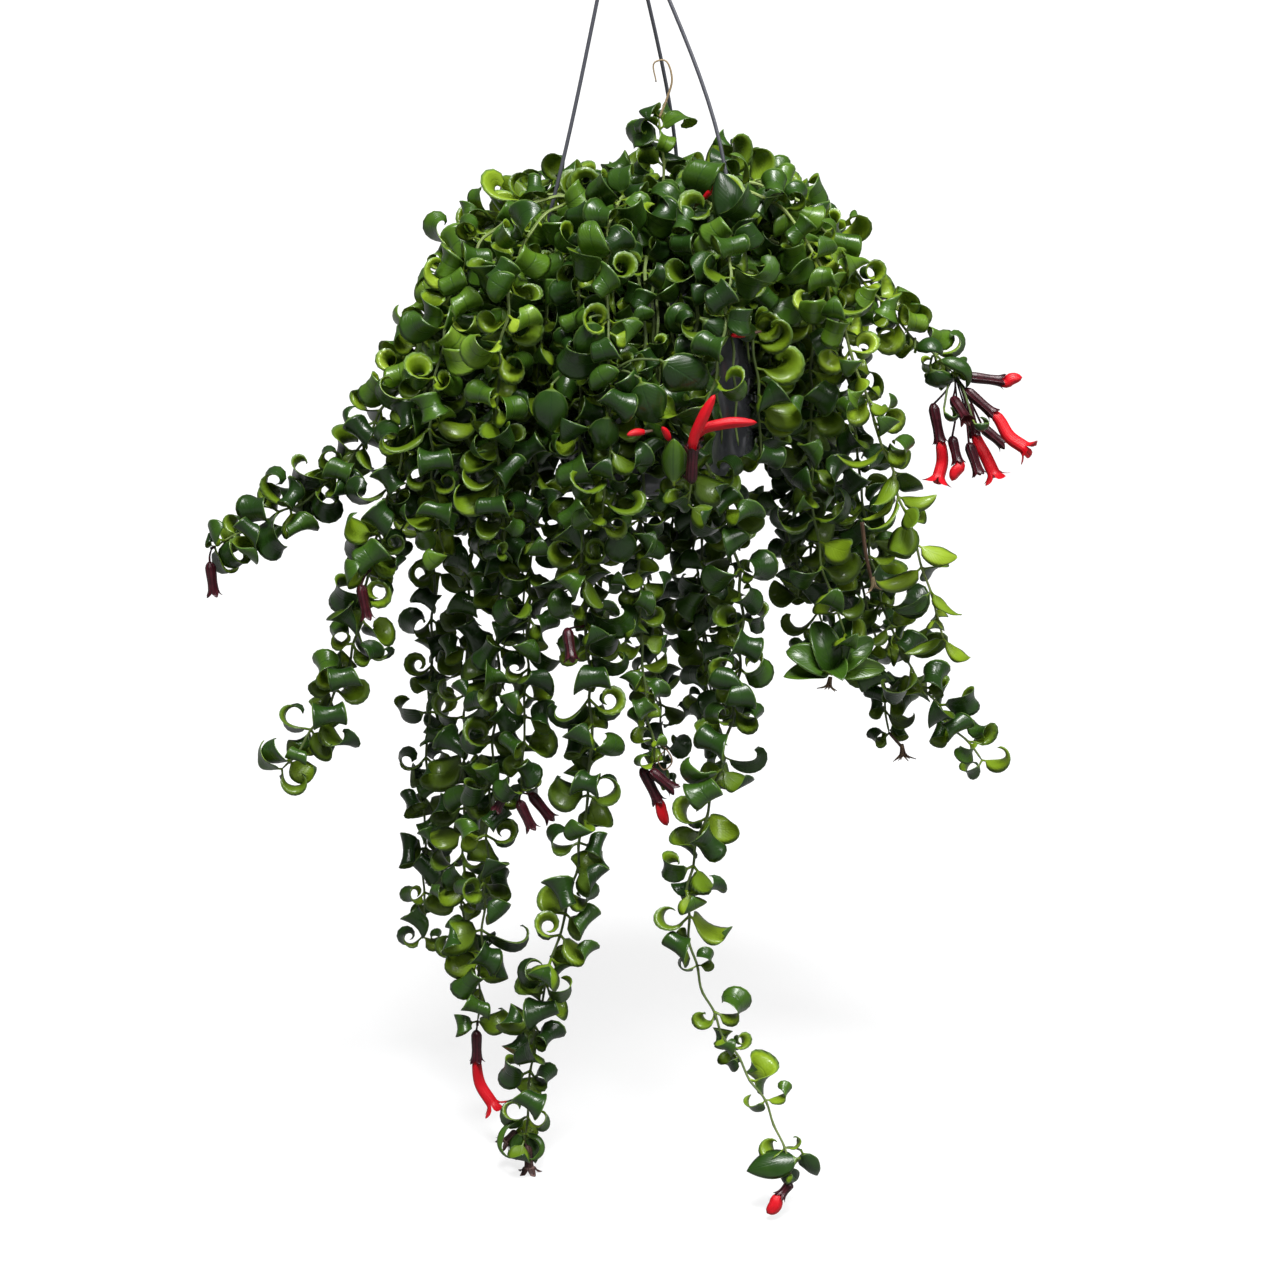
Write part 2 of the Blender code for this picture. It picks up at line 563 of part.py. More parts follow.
def node_frames(nodes):
    """The tangent and a carried sideways direction at each node."""
    tangents = np.gradient(nodes, axis=0)
    tangents /= np.linalg.norm(tangents, axis=1)[:, None]
    across = Vector(tangents[0]).orthogonal().normalized()
    frames = []
    for tangent in tangents:
        tangent = Vector(tangent)
        across = (across - tangent * across.dot(tangent)).normalized()
        frames.append((tangent, across.copy()))
    return frames


def chord_nodes(nodes, first, last):
    """The fewest nodes between two whose chords stay near the route."""
    leg = nodes[last] - nodes[first]
    leg = leg / np.linalg.norm(leg)
    off = nodes[first:last + 1] - nodes[first]
    off = np.linalg.norm(off - np.outer(off @ leg, leg), axis=1)
    worst = int(np.argmax(off))
    if off[worst] < CHORD_OFF:
        return [first, last]
    return chord_nodes(nodes, first, first + worst)[:-1] + chord_nodes(nodes, first + worst, last)


def solid_nodes(nodes):
    """The nodes that a stem's solid passes through: straight out of the soil, then along the chords."""
    return [0] + chord_nodes(nodes, 1, len(nodes) - 1)


def on_chord(nodes, kept, node):
    """The point of a stem's solid beside a node, and the way that the solid runs there."""
    after = next(i for i in kept[1:] if i >= node)
    before = kept[kept.index(after) - 1]
    start, leg = Vector(nodes[before]), Vector(nodes[after] - nodes[before])
    tangent = leg.normalized()
    return start + tangent * (Vector(nodes[node]) - start).dot(tangent), tangent


# Leaves


def leaf_form(name, stem, node, side, count):
    """A leaf's own size and curl. The draw depends only on its place, so any one can be left out."""
    rng = random.Random(stem * 1000 + node * 2 + side)
    young = min(1.0, 0.45 + 0.2 * (count - 1 - node))
    size = young * LEAF_SCALE.get(name, 1.0)
    return {
        "length": rng.uniform(*LEAF_LENGTH) * size,
        "width": rng.uniform(*LEAF_WIDTH) * size,
        "petiole": PETIOLE * size,
        "start": LEAF_START + rng.uniform(-START_SPREAD, START_SPREAD),
        "curl": rng.uniform(*CURL) * FLAT_CURL.get(name, 1.0) * (0.55 + 0.45 * young),
        "drift": rng.uniform(-DRIFT, DRIFT),
        "twist": rng.uniform(-TWIST, TWIST),
        "swing": rng.uniform(-SWING, SWING),
        "spin": rng.uniform(-SPIN, SPIN),
    }


def half_width(share, width):
    """An ovate blade's half width: a round base, widest at two fifths, an acute tip."""
    return width / 2 * 2.42 * share**0.55 * (1 - share) ** 0.75


def leaf_frames(form, origin, tangent, out, shares):
    """(centre, side, outer normal) at each share of the blade, which curls back to the stem's base."""
    tangent = Matrix.Rotation(form["spin"], 3, out) @ tangent
    side = tangent.cross(out)
    steps = 24
    place = origin + form["petiole"] * (math.cos(form["start"]) * out - math.sin(form["start"]) * tangent)
    found, wanted = [], list(shares)
    for i in range(steps + 1):
        share = i / steps
        while wanted and wanted[0] <= share + 0.5 / steps:
            turn = form["start"] + form["curl"] * wanted[0] ** CURL_BEND
            normal = math.sin(turn) * out + math.cos(turn) * tangent
            ahead = math.cos(turn) * out - math.sin(turn) * tangent
            roll = Matrix.Rotation(form["twist"] * wanted[0], 3, ahead)
            extra = (wanted[0] - share) * form["length"]
            shift = side * form["drift"] * form["length"] * wanted[0] ** 1.5
            found.append((place + ahead * extra + shift, roll @ side, roll @ normal))
            wanted.pop(0)
        turn = form["start"] + form["curl"] * (share + 0.5 / steps) ** CURL_BEND
        place = place + (math.cos(turn) * out - math.sin(turn) * tangent) * (form["length"] / steps)
    return found


def leaf_skin(form, origin, tangent, out, grow=0.0, loose=False):
    """A blade of three-sided sections, from a root inside the stem unless loose, to its tip."""
    frames = leaf_frames(form, origin, tangent, out, (*BLADE_CUTS, 1.0))
    rings = []
    for i, (share, (centre, side, normal)) in enumerate(zip(BLADE_CUTS, frames)):
        half = (half_width(share, form["width"]) if i else BLADE_BASE) + grow
        lift = (EDGE_LIFT * half_width(share, 2) if i else 0.0004) + grow
        keel = KEEL * (1 - 0.4 * share) + grow
        edges = [centre + side * reach + normal * lift for reach in (-half, half)]
        rings.append([*edges, centre - normal * keel])
    root = None if loose else origin - out * ROOT_DEPTH
    return loft(rings, root, frames[-1][0])


def leaf_out(wire, origin, tangent, across, node, side, form):
    """The way a leaf leaves its stem: square to a flat of it, pairs crosswise to the pair before."""
    guess = Matrix.Rotation(math.pi / 2 * (node % 2) + math.pi * side, 3, tangent) @ across
    flat = wire.find_nearest(origin + guess * STEM_WIRE)[1]
    out = (flat - tangent * flat.dot(tangent)).normalized()
    return Matrix.Rotation(form["swing"], 3, tangent) @ out


# Blooms


def ring_about(centre, axis, across, radii):
    """Points round the axis, one for each radius."""
    count = len(radii)
    turned_across = [Matrix.Rotation(2 * math.pi * i / count, 3, axis) @ across for i in range(count)]
    return [centre + way * radius for way, radius in zip(turned_across, radii)]


def lobed_ring(tip_centre, tip_radius, notch_centre, notch_radius, axis, across):
    """Ten points: five pointed lobes and the notches between them."""
    tips = ring_about(tip_centre, axis, across, [tip_radius] * 10)
    notches = ring_about(notch_centre, axis, across, [notch_radius] * 10)
    return [notch if i % 2 else tip for i, (tip, notch) in enumerate(zip(tips, notches))]


def calyx_size(base, mouth):
    """A calyx's axis, length, share of full width and depth of its hollow mouth."""
    length = (mouth - base).length
    return (mouth - base) / length, length, min(1.0, 0.45 + length / 0.036), min(CALYX_HOLLOW, length * 0.3)


def calyx_skin(base, mouth):
    """A five-sided cup with five pointed lobes and a hollow mouth."""
    axis, length, swell, hollow = calyx_size(base, mouth)
    across = axis.orthogonal().normalized()
    sections = ((0.0, CALYX_RADIUS * 0.5), (0.16, CALYX_RADIUS), (0.68, CALYX_RADIUS * 0.9))
    rings = [ring_about(base + axis * length * share, axis, across, [r * swell] * 5) for share, r in sections]
    lobes = base + axis * (length + CALYX_LOBE * swell)
    wide = CALYX_MOUTH * swell
    rings.append(lobed_ring(lobes, wide * 1.15, mouth, wide * 0.78, axis, across))
    return loft(rings, end=mouth - axis * hollow)


def corolla_skin(base, mouth, bend, end, is_open):
    """A curved red tube that stands in the calyx's mouth and ends open or in a bud."""
    axis, _, swell, hollow = calyx_size(base, mouth)
    seat = mouth - axis * (hollow - 0.0007)
    rings, across = [], axis.orthogonal().normalized()
    stations = [(mouth - axis * hollow * 0.25, 0.42 * swell), (mouth + axis * 0.005, 0.86), (bend, 1.0)]
    if not is_open:
        last = end - (end - bend).normalized() * min(0.004, (end - bend).length * 0.4)
        stations.append((last, 0.82))
    places = [seat] + [place for place, _ in stations] + [end]
    for i, (centre, share) in enumerate(stations, 1):
        way = (places[i + 1] - places[i - 1]).normalized()
        across = (across - way * across.dot(way)).normalized()
        rings.append(ring_about(centre, way, across, [COROLLA_RADIUS * share] * 5))
    if is_open:
        way = (end - bend).normalized()
        across = (across - way * across.dot(way)).normalized()
        throat = end - way * COROLLA_LOBE
        rings.append(ring_about(throat, way, across, [COROLLA_RADIUS * 1.15] * 5))
        notch = throat + way * 0.002
        rings.append(lobed_ring(end, COROLLA_MOUTH, notch, COROLLA_RADIUS * 1.2, way, across))
        return loft(rings, seat, throat - way * 0.003)
    return loft(rings, seat, end)


def bloom_anchor(nodes, back, flowers):
    """Where a bloom's peduncle starts: off the stem's tip, or off its side at a node."""
    kept = solid_nodes(nodes)
    anchor, tangent = on_chord(nodes, kept, len(nodes) - 1 - back)
    if back == 0:
        return anchor, tangent, TIP_GAP
    away = sum((Vector(flower[0]) for flower in flowers), Vector())
    return anchor, (away - tangent * away.dot(tangent)).normalized(), STEM_WIRE + TIP_GAP


def make_bloom(name, nodes, back, flowers, collection):
    """A calyx or a cluster of calyces on pedicels from one peduncle, and their corollas."""
    anchor, away, gap = bloom_anchor(nodes, back, flowers)
    start, knot = anchor + away * gap, anchor + away * (gap + 0.003)
    bloom = tube(f"calyx_{name}", [start, knot], PEDICEL_WIRE * 1.8, 4, collection)
    pieces, made = add_collection(f"pieces_{name}"), []
    for i, flower in enumerate(flowers):
        base, mouth, *corolla = [anchor + Vector(p) * MM for p in flower[:4]]
        way = (mouth - base).normalized()
        tube("pedicel", [anchor + away * (gap + 0.002), base + way * 0.0025], PEDICEL_WIRE, 4, pieces)
        skin_object("calyx", calyx_skin(base, mouth), pieces)
        if corolla:
            skin = corolla_skin(base, mouth, *corolla, flower[4] == OPEN)
            made.append(skin_object(f"corolla_{name}_{i + 1}", skin, collection))
            finish(made[-1], COROLLA_RED)
    bpy.context.view_layer.update()
    unite(bloom, pieces)
    finish(bloom, CALYX_MAROON)
    return [bloom, *made]


def world_skin(obj):
    """The object's vertices in the world and its faces, for a clearance test."""
    place, mesh = obj.matrix_world, evaluated_mesh(obj)
    return [place @ v.co for v in mesh.vertices], [tuple(p.vertices) for p in mesh.polygons]


def merged(solids):
    points, faces = [], []
    for some_points, some_faces in solids:
        faces += [tuple(len(points) + i for i in face) for face in some_faces]
        points += some_points
    return BVHTree.FromPolygons(points, faces)


def touches(skin, others):
    return bool(others and BVHTree.FromPolygons(*skin).overlap(others))


def leaf_nodes(count):
    """The nodes where a stem's solid bears a leaf."""
    found, strides = [FIRST_NODE], itertools.cycle(LEAF_STRIDES)
    while found[-1] < count - 2:
        found.append(min(found[-1] + next(strides), count - 2))
    return found


def grow_leaves(name, stem, nodes, others, wire, pieces):
    """Adds the leaves that stand clear, one at a node, turning round the stem. It returns their skins."""
    frames = node_frames(nodes)
    kept = solid_nodes(nodes)
    own_wire, own_leaves, skins = merged([wire]), None, []
    for i, node in enumerate(leaf_nodes(len(nodes))):
        origin, tangent = on_chord(nodes, kept, node)
        across = frames[node][1]
        across = (across - tangent * across.dot(tangent)).normalized()
        for side in ((i // 2) % 2, 1 - (i // 2) % 2):
            form = leaf_form(name, stem, node, side, len(nodes))
            out = leaf_out(own_wire, origin, tangent, across, node, side, form)
            clear = leaf_skin(form, origin, tangent, out, LEAF_CLEAR)
            loose = leaf_skin(form, origin, tangent, out, LEAF_CLEAR_OF_STEM, True)
            if touches(clear, others) or touches(clear, own_leaves) or touches(loose, own_wire):
                continue
            skins.append(leaf_skin(form, origin, tangent, out))
            skin_object("leaf", skins[-1], pieces)
            own_leaves = merged(skins)
            break
    return skins


def main():
    clear_scene()
    collection = add_collection(COLLECTION)
    holder = bpy.data.objects.new("holder", None)
    holder.rotation_euler.y = -LEAN
    collection.objects.link(holder)
    stems = settled_stems()
    solids = [make_pot(holder, collection), make_hanger(holder, collection)]
    solids.append(make_soil(holder, collection, [root for _, root, _ in stems]))
    nodes_of = {name: nodes for name, _, nodes in stems}
    for name, (stem, back, flowers) in BLOOMS.items():
        solids += make_bloom(name, nodes_of[stem], back, flowers, collection)
    wires = []
    for name, nodes in nodes_of.items():
        route = [nodes[i] for i in solid_nodes(nodes)]
        wires.append(tube(f"stem_{name}", route, STEM_WIRE, 4, collection))
    bpy.context.view_layer.update()
    skins = {obj.name: [world_skin(obj)] for obj in solids + wires}
    for i, ((name, nodes), wire) in enumerate(zip(nodes_of.items(), wires)):
        others = merged([skin for key, held in skins.items() if key != wire.name for skin in held])
        pieces = add_collection(f"leaves_{name}")
        skins[wire.name] += grow_leaves(name, i, nodes, others, skins[wire.name][0], pieces)
        unite(wire, pieces)
        finish(wire, LEAF_GREEN)
    leaves = sum(len(skins[wire.name]) - 1 for wire in wires)
    print(f"{leaves} leaves on {len(wires)} stems")


main()
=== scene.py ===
# A curly-leaved lipstick plant trailing from its hanging pot, in a white studio.
import itertools
import math
import random

import bpy
import numpy as np
from mathutils import Matrix, Vector
from mathutils.bvhtree import BVHTree


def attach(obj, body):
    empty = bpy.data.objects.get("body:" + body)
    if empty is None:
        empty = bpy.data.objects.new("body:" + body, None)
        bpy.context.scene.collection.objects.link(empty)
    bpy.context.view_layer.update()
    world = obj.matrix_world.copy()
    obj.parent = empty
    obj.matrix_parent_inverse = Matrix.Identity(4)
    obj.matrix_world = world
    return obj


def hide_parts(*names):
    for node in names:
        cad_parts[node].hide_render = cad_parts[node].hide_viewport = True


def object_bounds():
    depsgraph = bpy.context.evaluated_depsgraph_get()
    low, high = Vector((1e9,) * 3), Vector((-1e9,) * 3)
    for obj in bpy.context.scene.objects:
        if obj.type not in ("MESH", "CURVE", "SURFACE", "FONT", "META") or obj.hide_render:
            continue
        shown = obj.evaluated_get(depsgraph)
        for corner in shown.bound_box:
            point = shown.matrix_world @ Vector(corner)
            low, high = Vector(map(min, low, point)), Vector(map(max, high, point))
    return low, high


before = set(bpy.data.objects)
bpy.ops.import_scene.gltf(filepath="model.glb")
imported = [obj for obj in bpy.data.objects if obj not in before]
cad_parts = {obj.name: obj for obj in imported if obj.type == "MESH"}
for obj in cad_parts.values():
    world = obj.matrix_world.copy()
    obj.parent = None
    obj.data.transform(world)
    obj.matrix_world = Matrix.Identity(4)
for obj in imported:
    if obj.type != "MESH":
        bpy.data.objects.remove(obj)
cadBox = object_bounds()
print("frame loaded:", len(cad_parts), "nodes")

studio = {
    "cameraAt": (0.014, -2.2, 0.004), "cameraDown": 14.7, "lens": 88.4, "aim": (0, 0, -0.35),
    "floorHalf": 60.0, "floorDrop": 0.0004, "floorColor": (0.22, 0.22, 0.222, 1),
    "floorGrain": (0.5, 0.5, 0.5, 1), "floorGlow": 0.795, "roomLight": 0.125,
    # name, the way it shines from, width of its disc in degrees, strength
    "suns": (("keyLight", (0.02, -0.50, 1.0), 22, 4.3), ("fillLight", (0.8, -0.8, 0.9), 30, 1.55)),
    # name, place, size, power
    "softboxes": (("topSoftbox", (0.1, -0.5, 0.9), 1.0, 9),),
}


def addCamera():
    lens = bpy.data.cameras.new("studioCamera")
    lens.lens, lens.sensor_width, lens.clip_end = studio["lens"], 36, 200
    camera = bpy.data.objects.new("studioCamera", lens)
    camera.location = studio["cameraAt"]
    camera.rotation_euler = (math.radians(90 - studio["cameraDown"]), 0, 0)
    bpy.context.scene.collection.objects.link(camera)
    bpy.context.scene.camera = camera


def addLamp(name, kind, at, **settings):
    lamp = bpy.data.lights.new(name, kind)
    for key, value in settings.items():
        setattr(lamp, key, value)
    holder = bpy.data.objects.new(name, lamp)
    holder.location = at
    holder.rotation_euler = (Vector(studio["aim"]) - Vector(at)).to_track_quat("-Z", "Y").to_euler()
    bpy.context.scene.collection.objects.link(holder)


def addLights():
    for name, way, disc, strength in studio["suns"]:
        at = Vector(studio["aim"]) + Vector(way) * 3
        addLamp(name, "SUN", at, angle=math.radians(disc), energy=strength)
    for name, at, size, power in studio["softboxes"]:
        addLamp(name, "AREA", at, shape="SQUARE", size=size, energy=power)
    # the room is white to the camera, and a weaker light for the plant
    world = bpy.data.worlds.new("studioWhite")
    world.use_nodes = True
    tree = world.node_tree
    background = tree.nodes["Background"].inputs
    background["Color"].default_value = (1, 1, 1, 1)
    seen = placeNode(tree, "ShaderNodeLightPath").outputs["Is Camera Ray"]
    tree.links.new(remap(tree, seen, toMin=studio["roomLight"]), background["Strength"])
    bpy.context.scene.world = world
    bpy.context.scene.view_settings.view_transform = "Standard"


def placeNode(tree, kind, inputs=None, **settings):
    # an input is given a number, or a socket to link to it
    node = tree.nodes.new(kind)
    for key, value in settings.items():
        setattr(node, key, value)
    for key, value in (inputs or {}).items():
        if isinstance(value, bpy.types.NodeSocket):
            tree.links.new(value, node.inputs[key])
        else:
            node.inputs[key].default_value = value
    return node


def mixColors(tree, share, first, second):
    return placeNode(tree, "ShaderNodeMix", {0: share, 6: first, 7: second}, data_type="RGBA").outputs[2]


def calculate(tree, operation, *values, clamp=False):
    inputs = dict(enumerate(values))
    return placeNode(tree, "ShaderNodeMath", inputs, operation=operation, use_clamp=clamp).outputs[0]


def multiply(tree, first, second, clamp=False):
    return calculate(tree, "MULTIPLY", first, second, clamp=clamp)


def add(tree, first, second, clamp=False):
    return calculate(tree, "ADD", first, second, clamp=clamp)


def stretch(tree, value, by, plus):
    return calculate(tree, "MULTIPLY_ADD", value, by, plus)


def remap(tree, value, fromMin=0.0, fromMax=1.0, toMin=0.0, toMax=1.0):
    limits = {"From Min": fromMin, "From Max": fromMax, "To Min": toMin, "To Max": toMax}
    return placeNode(tree, "ShaderNodeMapRange", {"Value": value, **limits}).outputs[0]


def noise(tree, scale, detail):
    spot = placeNode(tree, "ShaderNodeTexCoord").outputs["Object"]
    inputs = {"Vector": spot, "Scale": scale, "Detail": detail}
    return placeNode(tree, "ShaderNodeTexNoise", inputs).outputs["Fac"]


def colorRamp(tree, share, stops):
    node = placeNode(tree, "ShaderNodeValToRGB", {"Fac": share})
    held = node.color_ramp.elements
    while len(held) < len(stops):
        held.new(0.5)
    for spot, (place, color) in zip(held, stops):
        spot.position, spot.color = place, (*color, 1)
    return node.outputs["Color"]


def newGroup(name, inputs, outputs):
    # every socket is a number: inputs with their first value, outputs by name
    tree = bpy.data.node_groups.new(name, "ShaderNodeTree")
    for label, start in inputs.items():
        made = tree.interface.new_socket(name=label, in_out="INPUT", socket_type="NodeSocketFloat")
        made.default_value = start
    for label in outputs:
        tree.interface.new_socket(name=label, in_out="OUTPUT", socket_type="NodeSocketFloat")
    return tree, tree.nodes.new("NodeGroupInput").outputs, tree.nodes.new("NodeGroupOutput").inputs


def useGroup(tree, group, **inputs):
    return placeNode(tree, "ShaderNodeGroup", inputs, node_tree=group).outputs


def makeMottle():
    # soft patches and fine grain, on every surface here at its own scale
    tree, given, out = newGroup("mottle", {"Scale": 60.0, "Grain": 6.0}, ("Patches", "Fine"))
    tree.links.new(noise(tree, given["Scale"], 3.0), out["Patches"])
    tree.links.new(noise(tree, multiply(tree, given["Scale"], given["Grain"]), 2.0), out["Fine"])
    return tree


def makeStripes():
    # ribs or veins that run along a surface: 1 on a line and 0 between
    tree, given, out = newGroup("stripes", {"Around": 0.0, "Count": 5.0, "Sharpness": 4.0}, ("Line",))
    turn = multiply(tree, multiply(tree, given["Around"], given["Count"]), math.tau)
    wave = stretch(tree, calculate(tree, "COSINE", turn), 0.5, 0.5)
    tree.links.new(calculate(tree, "POWER", wave, given["Sharpness"]), out["Line"])
    return tree


def makeWear():
    # rubbed edges and settled dust on moulded plastic
    tree, given, out = newGroup("wear", {"Scale": 90.0, "Rubbing": 0.5, "Dust": 0.3}, ("Edge", "Settled"))
    shape = placeNode(tree, "ShaderNodeNewGeometry").outputs
    grain = noise(tree, given["Scale"], 5.0)
    edge = multiply(tree, remap(tree, shape["Pointiness"], 0.52, 0.62), grain)
    tree.links.new(multiply(tree, edge, given["Rubbing"], clamp=True), out["Edge"])
    upward = placeNode(tree, "ShaderNodeSeparateXYZ", {"Vector": shape["Normal"]}).outputs["Z"]
    dust = multiply(tree, remap(tree, upward, 0.2, 1.0), remap(tree, grain, 0.45, 0.75))
    tree.links.new(multiply(tree, dust, given["Dust"], clamp=True), out["Settled"])
    return tree


mottle, stripes, wear = makeMottle(), makeStripes(), makeWear()


def newMaterial(name, **fixed):
    made = bpy.data.materials.new(name)
    made.use_nodes = True
    shader = made.node_tree.nodes["Principled BSDF"]
    for key, value in fixed.items():
        shader.inputs[key.replace("_", " ")].default_value = value
    return made, made.node_tree, shader


def feed(tree, shader, color, rough=None, height=None, depth=0.0):
    tree.links.new(color, shader.inputs["Base Color"])
    if rough is not None:
        tree.links.new(rough, shader.inputs["Roughness"])
    if height is not None:
        bump = placeNode(tree, "ShaderNodeBump", {"Height": height, "Distance": depth, "Strength": 1.0})
        tree.links.new(bump.outputs["Normal"], shader.inputs["Normal"])


def readData(tree):
    # the four numbers that the mesh carries at each point
    node = placeNode(tree, "ShaderNodeAttribute", attribute_name="plantData", attribute_type="GEOMETRY")
    parts = placeNode(tree, "ShaderNodeSeparateColor", {"Color": node.outputs["Color"]})
    return (*parts.outputs[:3], node.outputs["Alpha"])


leafFinish = {
    "upper": ((0.0, (0.0070, 0.022, 0.0032)), (0.35, (0.0150, 0.046, 0.0050)), (0.65, (0.040, 0.098, 0.0070)),
              (0.85, (0.088, 0.175, 0.0110)), (1.0, (0.165, 0.265, 0.028))),
    "under": ((0.0, (0.042, 0.080, 0.003)), (0.4, (0.098, 0.168, 0.004)), (0.75, (0.19, 0.29, 0.010)),
              (1.0, (0.28, 0.39, 0.034))),
    "margin": (0.15, 0.25, 0.060, 1), "midrib": (0.012, 0.045, 0.007, 1),
}


def makeLeafMaterial():
    made, tree, shader = newMaterial(
        "waxyLeaf", Coat_Weight=0.34, Coat_Roughness=0.20, Specular_IOR_Level=0.30)
    tone, along, across, face = readData(tree)
    spots = useGroup(tree, mottle, Scale=85.0, Grain=9.0)
    tone = add(tree, tone, stretch(tree, spots["Patches"], 0.30, -0.15), clamp=True)
    upper, under = (colorRamp(tree, tone, leafFinish[side]) for side in ("upper", "under"))
    off, fromEdge = (calculate(tree, "ABSOLUTE", calculate(tree, "SUBTRACT", share, 0.5))
                     for share in (across, face))
    midrib = remap(tree, off, 0.035, 0.005)
    upper = mixColors(tree, multiply(tree, midrib, 0.45), upper, leafFinish["midrib"])
    isUnder = remap(tree, face, 0.45, 0.75)
    color = mixColors(tree, isUnder, upper, under)
    margin = multiply(tree, remap(tree, fromEdge, 0.20, 0.06), 0.70)
    color = mixColors(tree, margin, color, leafFinish["margin"])
    slanted = add(tree, along, multiply(tree, off, -0.8))
    veins = useGroup(tree, stripes, Around=slanted, Count=11.0, Sharpness=3.0)
    height = add(tree, multiply(tree, spots["Fine"], 0.25), multiply(tree, veins["Line"], -0.35))
    height = calculate(tree, "SUBTRACT", height, midrib)
    rough = add(tree, stretch(tree, spots["Patches"], 0.16, 0.24), multiply(tree, isUnder, 0.16))
    feed(tree, shader, color, rough, height, 0.00016)
    return made


stemFinish = {"old": (0.040, 0.036, 0.018), "grown": (0.075, 0.115, 0.026), "fresh": (0.26, 0.34, 0.09)}
driedFinish = {"old": (0.055, 0.026, 0.018), "grown": (0.17, 0.095, 0.055), "fresh": (0.42, 0.31, 0.17)}


def makeStemMaterial(name, finish):
    made, tree, shader = newMaterial(name, Coat_Weight=0.0)
    tone, _, turn, _ = readData(tree)
    spots = useGroup(tree, mottle, Scale=160.0, Grain=5.0)
    share = add(tree, tone, multiply(tree, spots["Patches"], 0.35), clamp=True)
    color = colorRamp(tree, share, ((0.15, finish["old"]), (0.55, finish["grown"]), (1.0, finish["fresh"])))
    ridges = useGroup(tree, stripes, Around=turn, Count=9.0, Sharpness=2.0)
    height = add(tree, spots["Fine"], multiply(tree, ridges["Line"], 0.5))
    feed(tree, shader, color, stretch(tree, spots["Fine"], 0.25, 0.38), height, 0.0003)
    return made


calyxFinish = {"dark": (0.020, 0.0018, 0.0040), "light": (0.090, 0.0100, 0.0190),
               "inner": (0.10, 0.02, 0.02, 1), "smoothest": 0.22}
driedCalyxFinish = {"dark": (0.030, 0.012, 0.011), "light": (0.120, 0.058, 0.050),
                    "inner": (0.16, 0.09, 0.08, 1), "smoothest": 0.50}


def makeCalyxMaterial(name, finish):
    made, tree, shader = newMaterial(name, Specular_IOR_Level=0.35)
    _, _, turn, inside = readData(tree)
    spots = useGroup(tree, mottle, Scale=210.0, Grain=6.0)
    ribs = useGroup(tree, stripes, Around=turn, Count=10.0, Sharpness=2.5)
    share = add(tree, multiply(tree, spots["Patches"], 0.8), multiply(tree, ribs["Line"], -0.25), clamp=True)
    color = colorRamp(tree, share, ((0.15, finish["dark"]), (0.85, finish["light"])))
    color = mixColors(tree, inside, color, finish["inner"])
    height = add(tree, multiply(tree, spots["Fine"], 0.5), ribs["Line"])
    feed(tree, shader, color, stretch(tree, spots["Patches"], 0.18, finish["smoothest"]), height, 0.0003)
    return made


corollaFinish = {"stops": ((0.1, (0.26, 0.0010, 0.006)), (0.6, (0.45, 0.0015, 0.008)),
                           (1.0, (0.53, 0.004, 0.011))), "stripe": (0.14, 0.002, 0.006, 1)}


def makeCorollaMaterial():
    made, tree, shader = newMaterial("corollaScarlet", Specular_IOR_Level=0.3)
    _, along, turn, inside = readData(tree)
    spots = useGroup(tree, mottle, Scale=140.0, Grain=8.0)
    share = add(tree, along, stretch(tree, spots["Patches"], 0.3, 0.5))
    color = colorRamp(tree, share, corollaFinish["stops"])
    ribs = useGroup(tree, stripes, Around=turn, Count=15.0, Sharpness=5.0)
    color = mixColors(tree, multiply(tree, ribs["Line"], inside), color, corollaFinish["stripe"])
    height = add(tree, spots["Fine"], multiply(tree, ribs["Line"], -0.5))
    feed(tree, shader, color, stretch(tree, spots["Patches"], 0.2, 0.30), height, 0.0002)
    return made


# the pot's colour is partly its own dark anthracite and partly lifted lighter, as a painted reflection of the
# white room on the wall that the leaves shade
potFinish = {"color": (0.060, 0.062, 0.072, 1), "lifted": (0.074, 0.076, 0.088, 1), "rough": (0.10, 0.20),
             "rubbed": (0.09, 0.09, 0.10, 1), "dusty": (0.13, 0.12, 0.10, 1)}
hangerFinish = {"color": (0.055, 0.057, 0.070, 1), "lifted": (0.075, 0.077, 0.092, 1), "rough": (0.30, 0.42),
                "rubbed": (0.14, 0.14, 0.16, 1), "dusty": (0.16, 0.15, 0.13, 1)}


def makePlasticMaterial(name, finish, **fixed):
    made, tree, shader = newMaterial(name, **fixed)
    spots = useGroup(tree, mottle, Scale=30.0, Grain=60.0)
    worn = useGroup(tree, wear, Scale=110.0, Rubbing=0.6, Dust=0.35)
    color = mixColors(tree, spots["Patches"], finish["color"], finish["lifted"])
    color = mixColors(tree, worn["Edge"], color, finish["rubbed"])
    color = mixColors(tree, worn["Settled"], color, finish["dusty"])
    low, high = finish["rough"]
    rough = remap(tree, spots["Patches"], toMin=low, toMax=high)
    rough = add(tree, rough, multiply(tree, worn["Settled"], 0.4))
    feed(tree, shader, color, rough, spots["Fine"], 0.00003)
    return made


soilFinish = ((0.1, (0.008, 0.005, 0.003)), (0.55, (0.038, 0.023, 0.013)), (0.95, (0.12, 0.085, 0.055)))


def makeSoilMaterial():
    made, tree, shader = newMaterial("pottingMix")
    spots = useGroup(tree, mottle, Scale=260.0, Grain=4.0)
    spot = placeNode(tree, "ShaderNodeTexCoord").outputs["Object"]
    crumbs = placeNode(tree, "ShaderNodeTexVoronoi", {"Vector": spot, "Scale": 420.0}).outputs["Distance"]
    share = add(tree, multiply(tree, crumbs, 0.6), multiply(tree, spots["Patches"], 0.6), clamp=True)
    rough = remap(tree, spots["Fine"], toMin=0.75)
    feed(tree, shader, colorRamp(tree, share, soilFinish), rough, crumbs, 0.0012)
    return made


